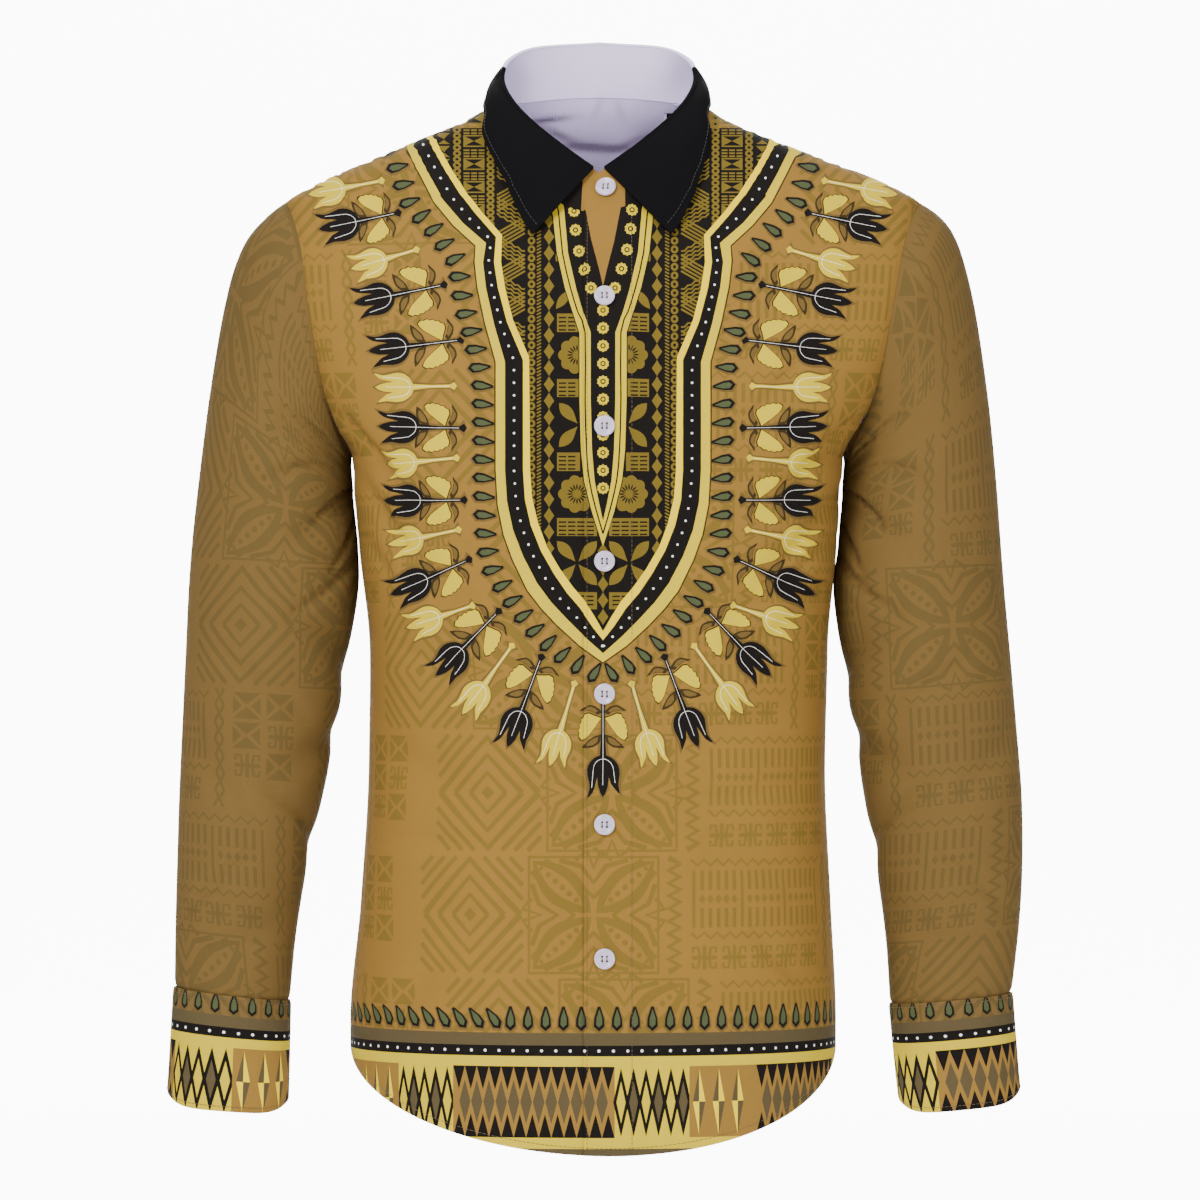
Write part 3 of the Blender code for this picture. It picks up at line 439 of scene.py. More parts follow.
def column(table: Sequence[tuple[float, ...]], names: tuple[str, ...], name: str) -> SmoothCurve:
    """One named column of a table as a smooth function of its first column.

    Args:
        table: rows of sizes.
        names: the names of the columns.
        name: the column that is wanted.

    Returns:
        The smooth function.
    """
    rows = np.array(sorted(table), dtype=float)
    return SmoothCurve(rows[:, 0], rows[:, names.index(name)])


def trough(x: Array, z: Array, rows: Iterable[tuple[float, ...]]) -> Array:
    """How far the body's cloth sinks from a table of soft troughs.

    Args:
        x: places across the front view.
        z: heights.
        rows: creases, as CREASE_COLUMNS names them.

    Returns:
        The depth at each place.
    """
    depth = np.zeros(np.broadcast(x, z).shape)
    for row in rows:
        crease = dict(zip(CREASE_COLUMNS, row))
        start = np.array([crease["side"] * crease["start_x"], crease["start_z"]])
        along = np.array([crease["side"] * crease["end_x"], crease["end_z"]]) - start
        length = np.linalg.norm(along)
        along = along / length
        run = (x - start[0]) * along[0] + (z - start[1]) * along[1]
        off = (x - start[0]) * along[1] - (z - start[1]) * along[0]
        taper = np.sin(np.pi * np.clip(run / length, 0, 1)) ** CREASE_TAPER
        depth = depth + crease["depth"] * taper * np.exp(-((off / crease["half_width"]) ** 2))
    return depth


class BodyForm:
    """The filled-out body of the shirt: level rings with a shoulder slope and armholes."""

    def __init__(self) -> None:
        """Makes the size curves and the table of lengths round the rings."""
        whole = TORSO[:-1] + CHEST[:-1] + SHOULDER
        self.low_width = column(TORSO, TORSO_COLUMNS, "half_width")
        self.armhole_x = column(CHEST, TORSO_COLUMNS, "half_width")
        self.ridge_x = column(SHOULDER, TORSO_COLUMNS, "half_width")
        self.centre = column(whole, TORSO_COLUMNS, "centre")
        self.power = column(whole, TORSO_COLUMNS, "power")
        self.depth = {
            Face.FRONT: column(whole, TORSO_COLUMNS, "front"),
            Face.BACK: column(whole, TORSO_COLUMNS, "back"),
        }
        self.rows = np.linspace(-0.765, 0.022, 80)
        self.turns = np.linspace(0, np.pi / 2, 61)
        self.lengths = {}
        for face in Face:
            z = self.rows[:, None] + 0 * self.turns
            x, y = self.plain(np.sin(self.turns) + 0 * z, z, face)
            steps = np.hypot(np.diff(x, axis=1), np.diff(y, axis=1))
            self.lengths[face] = np.concatenate([0 * z[:, :1], np.cumsum(steps, axis=1)], axis=1)

    def plain(self, sine: Array, z: Array, face: Face) -> tuple[Array, Array]:
        """Distances from the centre and depths of the uncreased ring, by the sine of the turn."""
        power = self.power(z)
        return self.half_width(z) * sine, self.depth[face](z) * (1 - sine**power) ** (1 / power)

    def half_width(self, z: Array) -> Array:
        """The ring's half width: body below, chest beside the armhole, shoulder slope above."""
        t = np.clip((SHOULDER_Z - z) / (SHOULDER_Z - ARMPIT_Z), 0, 1)
        mean_depth = (self.depth[Face.FRONT](z) + self.depth[Face.BACK](z)) / 2
        share = ARMHOLE_HALF_DEPTH * 2 * np.sqrt(t * (1 - t)) / mean_depth
        power = self.power(z)
        chest = self.armhole_x(z) / (1 - share**power) ** (1 / power)
        return np.where(z < ARMPIT_Z, self.low_width(z), np.where(z > SHOULDER_Z, self.ridge_x(z), chest))

    def measure(self, points: Array, face: Face) -> Array:
        """1 on the smooth body and more outside it."""
        x, y, z = points[..., 0], points[..., 1], points[..., 2]
        power = self.power(z)
        wide = (np.abs(x - self.centre(z)) / self.half_width(z)) ** power
        return wide + (np.abs(y) / self.depth[face](z)) ** power

    def skin(
        self, x: Array, z: Array, face: Face, raised: Array | float = 0.0, fine: bool = True
    ) -> tuple[Array, Array]:
        """The outer skin at places in the front view.

        Args:
            x: places across.
            z: heights.
            face: the front or the back.
            raised: how far out of the skin the points lie.
            fine: whether the small creases are in it.

        Returns:
            Points, and the normals of the uncreased skin.
        """
        x, z = np.asarray(x, dtype=float), np.asarray(z, dtype=float)
        across = x - self.centre(z)
        wide, deep, power = self.half_width(z), self.depth[face](z), self.power(z)
        part = np.clip(np.abs(across) / wide, 0, 1)
        rest = (1 - part**power) ** (1 / power)
        points = np.stack([x, int(face) * deep * rest, z], axis=-1)
        lean_x = power * np.sign(across) * part ** (power - 1) / wide
        lean_y = power * int(face) * rest ** (power - 1) / deep
        up = np.array([0.0, 0.0, SLOPE_STEP])
        lean_z = (self.measure(points + up, face) - self.measure(points - up, face)) / (2 * SLOPE_STEP)
        normals = unit(np.stack([lean_x, lean_y, lean_z], axis=-1))
        sink = trough(x, z, BODY_CREASES) * smoothstep(rest / CREASE_EDGE_FADE)
        if fine:
            sink = sink + FINE_DEPTH * trough(x, z, FINE_CREASES[face]) * smoothstep(rest / FINE_EDGE_FADE)
        return points + normals * (raised - sink)[..., None], normals

    def neck_height(self, x: Array, face: Face) -> Array:
        """The neckline's height at a place across the front view."""
        part = np.clip((np.asarray(x, dtype=float) - self.centre(NECK_SIDE_Z)) / NECK_HALF_WIDTH, -1, 1)
        if face == Face.BACK:
            return NECK_SIDE_Z + NECK_BACK_RISE * (1 - part**2)
        return NECK_SIDE_Z - NECK_DROP * (1 - part**2) ** NECK_POWER

    def hem_height(self, sine: Array, face: Face) -> Array:
        """The hem's height, from the sine of a place's turn. It dips lowest a little left of the centre."""
        leaned = sine - HEM_LEAN * (1 - sine**2)
        return HEM_SIDE_Z - HEM_DROP[face] * np.sqrt(np.clip(1 - leaned**2, 0, 1))

    def lap_raise(self, x: Array) -> Array:
        """How far the left front stands out where it laps over the right front."""
        return LAP_RAISE * smoothstep((LAP_END_X - x) / (LAP_END_X - LAP_FLAT_X))

    def arc(self, turn: Array, z: Array, face: Face) -> Array:
        """The length of cloth from the centre line to a turn, at a height."""
        table = self.lengths[face]
        r = np.clip((z - self.rows[0]) / (self.rows[1] - self.rows[0]), 0, len(self.rows) - 1.001)
        c = np.clip(np.abs(turn) / (self.turns[1] - self.turns[0]), 0, len(self.turns) - 1.001)
        i, j = r.astype(int), c.astype(int)
        low = table[i, j] + (table[i, j + 1] - table[i, j]) * (c - j)
        high = table[i + 1, j] + (table[i + 1, j + 1] - table[i + 1, j]) * (c - j)
        return np.sign(turn) * (low + (high - low) * (r - i))

    def turn_at(self, length: Array, z: Array, face: Face) -> Array:
        """The turn that a length of cloth from the centre line reaches. Shoulders use the front view.

        Args:
            length: lengths of cloth, signed.
            z: heights.
            face: the front or the back.

        Returns:
            Turns in radians, past a quarter turn beyond the side seam.
        """
        table = self.lengths[face]
        r = np.clip((z - self.rows[0]) / (self.rows[1] - self.rows[0]), 0, len(self.rows) - 1.001)
        i = r.astype(int)
        reach = table[i] + (table[i + 1] - table[i]) * (r - i)[:, None]
        long = np.abs(length)
        j = np.clip((reach < long[:, None]).sum(axis=1) - 1, 0, len(self.turns) - 2)
        at = np.arange(len(z))
        share = (long - reach[at, j]) / np.maximum(reach[at, j + 1] - reach[at, j], 1e-9)
        turn = self.turns[j] + np.clip(share, 0, 1) * (self.turns[1] - self.turns[0])
        turn = turn + np.maximum(long - reach[:, -1], 0) / TURN_RADIUS
        wide = self.half_width(z)
        front_view = np.arcsin(np.clip(long / wide, 0, 1)) + np.maximum(long / wide - 1, 0)
        blend = smoothstep((z + 0.2) / 0.14)
        return np.sign(length) * (turn + (front_view - turn) * blend)


BODY_FORM = BodyForm()


@dataclass
class Motif:
    """A closed shape of one ink, in cloth pixels. A placed one lies where the camera sees it."""

    points: Array
    ink: Ink
    placed: bool = False


def moved(points: Array, x: float, y: float, turn: float = 0.0, scale: float = 1.0) -> Array:
    """Points scaled, turned by an angle in radians and moved."""
    c, s = math.cos(turn) * scale, math.sin(turn) * scale
    points = np.asarray(points, dtype=float)
    return np.stack([x + points[:, 0] * c - points[:, 1] * s, y + points[:, 0] * s + points[:, 1] * c], axis=-1)


def oval(x: float, y: float, rx: float, ry: float | None = None, sides: int = 8, turn: float = 0.0) -> Array:
    """An oval's outline.

    Args:
        x: the centre's x.
        y: the centre's y.
        rx: the half width.
        ry: the half height, rx if it isn't given.
        sides: how many points.
        turn: its angle in radians.

    Returns:
        The outline's points.
    """
    angle = 2 * np.pi * (np.arange(sides) + 0.5) / sides
    return moved(np.stack([rx * np.cos(angle), (ry or rx) * np.sin(angle)], axis=-1), x, y, turn)


def stroke(path: Sequence[Sequence[float]] | Array, width: float | Array) -> Array:
    """The outline of a line of some width along a path."""
    path = np.asarray(path, dtype=float)
    along = edge_tangent(path)
    across = np.stack([-along[:, 1], along[:, 0]], axis=-1) * np.reshape(np.asarray(width) / 2, (-1, 1))
    return np.concatenate([path + across, (path - across)[::-1]])


def lens(start: Sequence[float], end: Sequence[float], width: float, steps: int = 5, lean: float = 0.0) -> Array:
    """A pointed leaf's outline.

    Args:
        start: one point of it.
        end: the other point.
        width: its full width.
        steps: how many points each side has between the ends.
        lean: how far its widest place lies towards the end, from -1 to 1.

    Returns:
        The outline's points.
    """
    start, end = np.asarray(start, dtype=float), np.asarray(end, dtype=float)
    t = np.arange(1, steps + 1) / (steps + 1)
    swell = np.sin(np.pi * t ** (1 + 0.6 * lean)) ** 0.9 * width / 2
    way = (end - start) / np.linalg.norm(end - start)
    across = np.array([-way[1], way[0]])
    middle = start + (end - start) * t[:, None]
    left, right = middle + across * swell[:, None], middle - across * swell[:, None]
    return np.concatenate([[start], left, [end], right[::-1]])


def box(x0: float, y0: float, x1: float, y1: float) -> Array:
    """A rectangle's outline."""
    return np.array([(x0, y0), (x1, y0), (x1, y1), (x0, y1)], dtype=float)


def mirrored(points: Array) -> Array:
    """Points mirrored about the shirt's centre line."""
    return np.stack([2 * MIDDLE_X - points[:, 0], points[:, 1]], axis=-1)


def resampled(path: Sequence[Sequence[float]] | Array, spacing: float, start: float = 0.0) -> tuple[Array, Array]:
    """Points at an even spacing along a path, and its direction at each.

    Args:
        path: the path's corners.
        spacing: the distance between points.
        start: how far along the first one lies.

    Returns:
        The points and the angles in radians.
    """
    path = np.asarray(path, dtype=float)
    length = np.concatenate([[0], np.cumsum(np.linalg.norm(np.diff(path, axis=0), axis=1))])
    at = np.arange(start, length[-1], spacing)
    points = np.stack([np.interp(at, length, path[:, i]) for i in (0, 1)], axis=-1)
    ahead = np.stack([np.interp(at + 4, length, path[:, i]) for i in (0, 1)], axis=-1)
    behind = np.stack([np.interp(at - 4, length, path[:, i]) for i in (0, 1)], axis=-1)
    way = ahead - behind
    return points, np.arctan2(way[:, 1], way[:, 0])


def densified(points: Array, step: float) -> Array:
    """A closed outline with no edge longer than step."""
    ends = np.roll(points, -1, axis=0)
    counts = np.maximum(np.ceil(np.linalg.norm(ends - points, axis=1) / step).astype(int), 1)
    parts = [a + (b - a) * (np.arange(n) / n)[:, None] for a, b, n in zip(points, ends, counts)]
    return np.concatenate(parts)


def within(points: Array, region: Array) -> Array:
    """Whether each point lies in a closed region."""
    x, y = points[:, :1], points[:, 1:]
    ax, ay = region[:, 0], region[:, 1]
    bx, by = np.roll(ax, -1), np.roll(ay, -1)
    span = np.where(by == ay, 1e-9, by - ay)
    crosses = ((ay > y) != (by > y)) & (x < ax + (y - ay) * (bx - ax) / span)
    return crosses.sum(axis=1) % 2 == 1


def spline(path: Sequence[Sequence[float]], parts: int = 4) -> Array:
    """A smooth path through points, each stretch in some parts."""
    p = np.asarray(path, dtype=float)
    p = np.concatenate([[2 * p[0] - p[1]], p, [2 * p[-1] - p[-2]]])
    t = (np.arange(parts) / parts)[:, None]
    found = []
    for a, b, c, d in zip(p, p[1:], p[2:], p[3:]):
        bend, twist = a - 2.5 * b + 2 * c - d / 2, 1.5 * (b - c) + (d - a) / 2
        found.append(b + t * (c - a) / 2 + t**2 * bend + t**3 * twist)
    return np.concatenate([*found, p[-2:-1]])


def zigzag(x0: float, x1: float, y: float, pitch: float, rise: float, width: float) -> Array:
    """A level zigzag line."""
    teeth = max(round((x1 - x0) / pitch), 1)
    xs = np.linspace(x0, x1, 2 * teeth + 1)
    return stroke(np.stack([xs, y + np.where(np.arange(len(xs)) % 2, rise, -rise)], axis=-1), width)


def across_to_down(shapes: Iterable[Array], x: float, y: float) -> list[Array]:
    """Shapes drawn from 0, 0 along x, laid down the cloth from a place."""
    return [np.stack([x + points[:, 1], y + points[:, 0]], axis=-1) for points in shapes]


@dataclass
class TapaGround:
    """Tone-on-tone blocks of flowers, barred rows, zigzags and nested diamonds on the ground cloth."""

    seed: int
    ink: Ink = Ink.TONE
    row: float = 122.0
    light: list[Array] = field(default_factory=list)
    dots: list[Array] = field(default_factory=list)

    def __post_init__(self) -> None:
        """Starts an even sequence of choices from the seed."""
        self.random = np.random.default_rng(self.seed)

    def flower(self, x: float, y: float, w: float, h: float) -> list[Array]:
        """A four-petal flower that reaches its corners, with chevrons between the petals."""
        cx, cy = x + w / 2, y + h / 2
        middle = np.array([cx, cy])
        shapes = [box(x, y, x + w, y + 2.4), box(x, y + h - 2.4, x + w, y + h)]
        shapes += [box(x, y, x + 2.4, y + h), box(x + w - 2.4, y, x + w, y + h)]
        for sx, sy in CORNERS:
            corner = middle + np.array([sx * (w / 2 - 5), sy * (h / 2 - 5)])
            way = (corner - middle) / np.linalg.norm(corner - middle)
            shapes.append(lens(middle + way * 3, corner, w * 0.29, 9))
            self.light.append(lens(middle + way * 13, corner - way * 5, w * 0.13, 7))
            for share in np.linspace(0.28, 0.86, 6):
                spot = middle + (corner - middle) * share
                self.dots.append(oval(*spot, 2.6 * math.sin(math.pi * share) + 0.7, 3.2, 6, math.atan2(*way[::-1])))
        for turn in range(4):
            c, s = (1, 0, -1, 0)[turn], (0, 1, 0, -1)[turn]
            across, out = (w / 2, h / 2) if c == 0 else (h / 2, w / 2)
            for depth, spread, width in ((0.30, 0.74, 5.0), (0.55, 0.52, 5.0), (0.80, 0.28, 4.6)):
                reach = -across * spread
                arms = [(reach, out - 4), (reach * 0.36, out * (depth + 0.28)), (0, out * depth)]
                path = np.array(arms + [(-a, b) for a, b in arms[1::-1]])
                shapes.append(stroke(path @ np.array([(-s, c), (c, s)]) + middle, width))
        return shapes

    def bars(self, x: float, y: float, w: float, h: float) -> list[Array]:
        """Upright bars joined by small diamonds, between zigzag lines, with a row of hooks below."""
        shapes = [zigzag(x + 2, x + w - 2, y + 7, 14, 3, 2.6), zigzag(x + 2, x + w - 2, y + h - 38, 14, 3, 2.6)]
        top, foot = y + 15, y + h - 46
        middle = (top + foot) / 2
        for i, cx in enumerate(np.arange(x + 5, x + w - 4, 8.6)):
            if i % 6 == 0:
                shapes.append(box(cx - 1.6, top, cx + 1.6, foot))
                continue
            shapes.append(box(cx - 1.9, top, cx + 1.9, middle - 9))
            shapes.append(box(cx - 1.9, middle + 9, cx + 1.9, foot))
            shapes.append(np.array([(cx - 3.4, middle), (cx, middle - 5), (cx + 3.4, middle), (cx, middle + 5)]))
        for cx in np.arange(x + 16, x + w - 14, 32):
            shapes += self.hook(cx, y + h - 16)
        return shapes

    def hook(self, x: float, y: float) -> list[Array]:
        """A figure of two combs back to back."""
        shapes = [box(x - 2, y - 12, x + 2, y + 12), box(x - 13, y - 2, x + 13, y + 2)]
        for sx, sy in CORNERS:
            arm = [(x + sx * a, y + sy * b) for a, b in ((5, 2), (6.5, 10), (12, 10), (12, 5))]
            shapes.append(stroke(arm, 3.0))
        return shapes

    def crosses(self, x: float, y: float, w: float, h: float) -> list[Array]:
        """A column of crosses and diamonds."""
        shapes = []
        pitch = h / max(round(h / 17), 1)
        for top in y + pitch * np.arange(round(h / pitch)):
            shapes.append(stroke([(x + 3, top), (x + w - 3, top + pitch)], 3.0))
            shapes.append(stroke([(x + w - 3, top), (x + w / 2 + 1.4, top + pitch / 2 - 1)], 3.0))
            shapes.append(stroke([(x + w / 2 - 1.4, top + pitch / 2 + 1), (x + 3, top + pitch)], 3.0))
        return shapes

    def waves(self, x: float, y: float, w: float, h: float) -> list[Array]:
        """A thick zigzag that runs down the cloth."""
        return across_to_down([zigzag(2, h - 2, w / 2, 13, w * 0.26, 6.4)], x, y)

    def diamonds(self, x: float, y: float, w: float, h: float) -> list[Array]:
        """Nested diamonds with chevrons in the corners."""
        cx, cy = x + w / 2, y + h / 2
        shapes = []
        for share in (0.94, 0.64, 0.34):
            a, b = w / 2 * share, h / 2 * share
            for sign in (-1, 1):
                shapes.append(stroke([(cx - a, cy), (cx, cy + sign * b), (cx + a, cy)], 6.0 * (0.6 + share / 2)))
        shapes.append(np.array([(cx - 7, cy), (cx, cy - 7), (cx + 7, cy), (cx, cy + 7)]))
        for sx, sy in CORNERS:
            for share in (0.13, 0.25, 0.37):
                path = [(cx + sx * w * 0.49, cy + sy * h * share), (cx + sx * w * share, cy + sy * h * 0.49)]
                shapes.append(stroke(path, 4.6))
        return shapes

    def triangles(self, x: float, y: float, w: float, h: float) -> list[Array]:
        """Facing triangles in framed cells, with a hook figure now and then."""
        shapes = []
        for i, left in enumerate(np.arange(x + 3, x + w - 30, 34)):
            for j, top in enumerate(np.arange(y + 3, y + h - 28, 29.5)):
                if (i + j) % 3 == 2:
                    shapes += self.hook(left + 15, top + 13)
                    continue
                shapes.append(np.array([(left, top), (left + 28, top), (left + 14, top + 12)]))
                shapes.append(np.array([(left, top + 26), (left + 14, top + 14), (left + 28, top + 26)]))
                shapes.append(np.array([(left, top + 4), (left + 9, top + 13), (left, top + 22)]))
                shapes.append(np.array([(left + 28, top + 4), (left + 28, top + 22), (left + 19, top + 13)]))
        return shapes

    def blocks(self, x0: float, y0: float, x1: float, y1: float) -> list[Motif]:
        """The blocks that cover a stretch of cloth.

        Args:
            x0: its least x.
            y0: its least y.
            x1: its greatest x.
            y1: its greatest y.

        Returns:
            The blocks' shapes.
        """
        styles = (
            (self.flower, 136),
            (self.waves, 26),
            (self.bars, 172),
            (self.crosses, 20),
            (self.triangles, 104),
            (self.diamonds, 116),
        )
        shapes: list[Array] = []
        turn = int(self.random.integers(6))
        for row in range(math.floor(y0 / self.row), math.ceil(y1 / self.row)):
            x = x0 - float(self.random.uniform(0, 130))
            turn += int(self.random.integers(1, 4))
            while x < x1:
                draw, width = styles[turn % len(styles)]
                shapes += draw(x + 2, row * self.row + 2, width - 4, self.row - 4)
                x, turn = x + width, turn + 1
        found = [Motif(shape, self.ink) for shape in shapes]
        return found + [Motif(s, Ink.GROUND) for s in self.light] + [Motif(s, self.ink) for s in self.dots]


def gem(x: float, y: float, turn: float, scale: float = 1.0) -> list[tuple[Array, Ink]]:
    """A long faceted drop with its narrow tip ahead."""
    outer = np.array([(-12, 0), (-7.5, 5.0), (0, 4.6), (11, 1.2), (11, -1.2), (0, -4.6), (-7.5, -5.0)])
    inner = np.array([(-8.6, -0.4), (-5.6, 3.0), (0.4, 3.0), (9.0, 0.2), (0.2, -2.6), (-5.8, -2.8)])
    layers = ((outer * (1.16, 1.3), y + 0.8, Ink.SHADE), (outer, y, Ink.BLACK), (inner, y, Ink.OLIVE))
    return [(moved(points, x, at, turn, scale), ink) for points, at, ink in layers]


@dataclass(frozen=True)
class Border:
    """The bands along the hem and the cuffs: dotted band, pale lines, harlequin and drops.

    The top is the taupe band's, the spacings are the drops' and the white dots', and the scale
    is the heights' share of the hem's own.
    """

    top: float
    spacing: float = 17.8
    dots: float = 14.35
    scale: float = 1.0
    block_top: float = 33.5
    block_foot: float = 104.5

    def y(self, below: float) -> float:
        """The y of a line this far below the top, at the border's scale."""
        return self.top + below * self.scale

    def diamond(self, x: float, half: float, low: float, high: float) -> Array:
        """A tall diamond between two lines below the top."""
        middle = self.y((low + high) / 2)
        return np.array([(x - half, middle), (x, self.y(low)), (x + half, middle), (x, self.y(high))])

    def ground(self, x0: float, x1: float, ink: Ink) -> Motif:
        """The plain ground of a block."""
        return Motif(box(x0, self.y(self.block_top), x1, self.y(self.block_foot)), ink)

    def centres(self, x0: float, x1: float, pitch: float) -> tuple[Array, float]:
        """The middles of a block's figures, and their pitch made even."""
        count = max(round((x1 - x0) / pitch), 1)
        pitch = (x1 - x0) / count
        return x0 + pitch * (np.arange(count) + 0.5), pitch

    def stars(self, x0: float, x1: float) -> list[Motif]:
        """Narrow faceted stars, pale on one side and taupe on the other."""
        middle, low, high = self.y(69), self.y(36), self.y(102)
        found = [self.ground(x0, x1, Ink.TAN)]
        for x in np.arange(x0 + 10, x1 - 6, 20.6):
            for foot, inks in ((low, (Ink.TAUPE, Ink.YELLOW)), (high, (Ink.YELLOW, Ink.TAUPE))):
                for side, ink in zip((-1, 1), inks):
                    found.append(Motif(np.array([(x, middle), (x + side * 6.4, middle), (x, foot)]), ink))
        return found

    def lattice(self, x0: float, x1: float) -> list[Motif]:
        """Pale and taupe diamonds, each in a thick black one."""
        found = [self.ground(x0, x1, Ink.PALE_GOLD)]
        centres, pitch = self.centres(x0, x1, 12.9)
        for i, x in enumerate(centres):
            found.insert(1, Motif(self.diamond(x, pitch / 2 + 1.5, 34.5, 103.5), Ink.BLACK))
            found.append(Motif(self.diamond(x, pitch / 2 - 1.8, 48, 90), Ink.TAUPE if i % 2 else Ink.PALE_GOLD))
        return found

    def spears(self, x0: float, x1: float) -> list[Motif]:
        """Taupe diamonds on tan, with black triangles above and below."""
        found = [self.ground(x0, x1, Ink.TAN)]
        centres, pitch = self.centres(x0, x1, 12.65)
        for i, x in enumerate(centres):
            for foot, tip in ((self.block_top, 57), (self.block_foot, 81)):
                ends = [(x - pitch / 2, self.y(foot)), (x + pitch / 2, self.y(foot)), (x, self.y(tip))]
                found.append(Motif(np.array(ends), Ink.BLACK))
            if i:
                found.append(Motif(self.diamond(x - pitch / 2, 5.9, 47, 91), Ink.TAUPE))
        return found

    def motifs(
        self, blocks: Iterable[tuple[str, float, float]], x0: float, x1: float, foot: float, slant_end: float
    ) -> list[Motif]:
        """The whole border over a stretch of cloth.

        Args:
            blocks: harlequin styles with their x ranges.
            x0: the border's least x.
            x1: its greatest x.
            foot: y past the cloth's edge.
            slant_end: the x up to which the drops lean.

        Returns:
            The border's shapes, lowest first.
        """
        lines = (
            (Ink.TAUPE, 0, 12.5),
            (Ink.BLACK, 12.5, 23.1),
            (Ink.PALE_GOLD, 23.1, self.block_top),
            (Ink.TAN, self.block_top, self.block_foot),
            (Ink.PALE_GOLD, self.block_foot, 115.5),
        )
        found = [Motif(box(x0, self.y(a), x1, self.y(b)), ink) for ink, a, b in lines]
        found.append(Motif(box(x0, self.y(115.5), x1, max(foot, self.y(117))), Ink.TAUPE))
        for style, start, end in blocks:
            found += getattr(self, style)(start, end)
        for x in np.arange(x0 + 4, x1, self.dots):
            found.append(Motif(oval(x, self.y(17.8), 1.6, sides=6), Ink.WHITE))
        for x in np.arange(x0 + 4, x1, self.spacing):
            turn = -math.pi / 2 - (0.62 if x < slant_end else 0.0)
            size = self.scale**3
            found += [Motif(points, ink) for points, ink in gem(x, self.top - 14.5 * size, turn, 1.06 * size)]
        return found


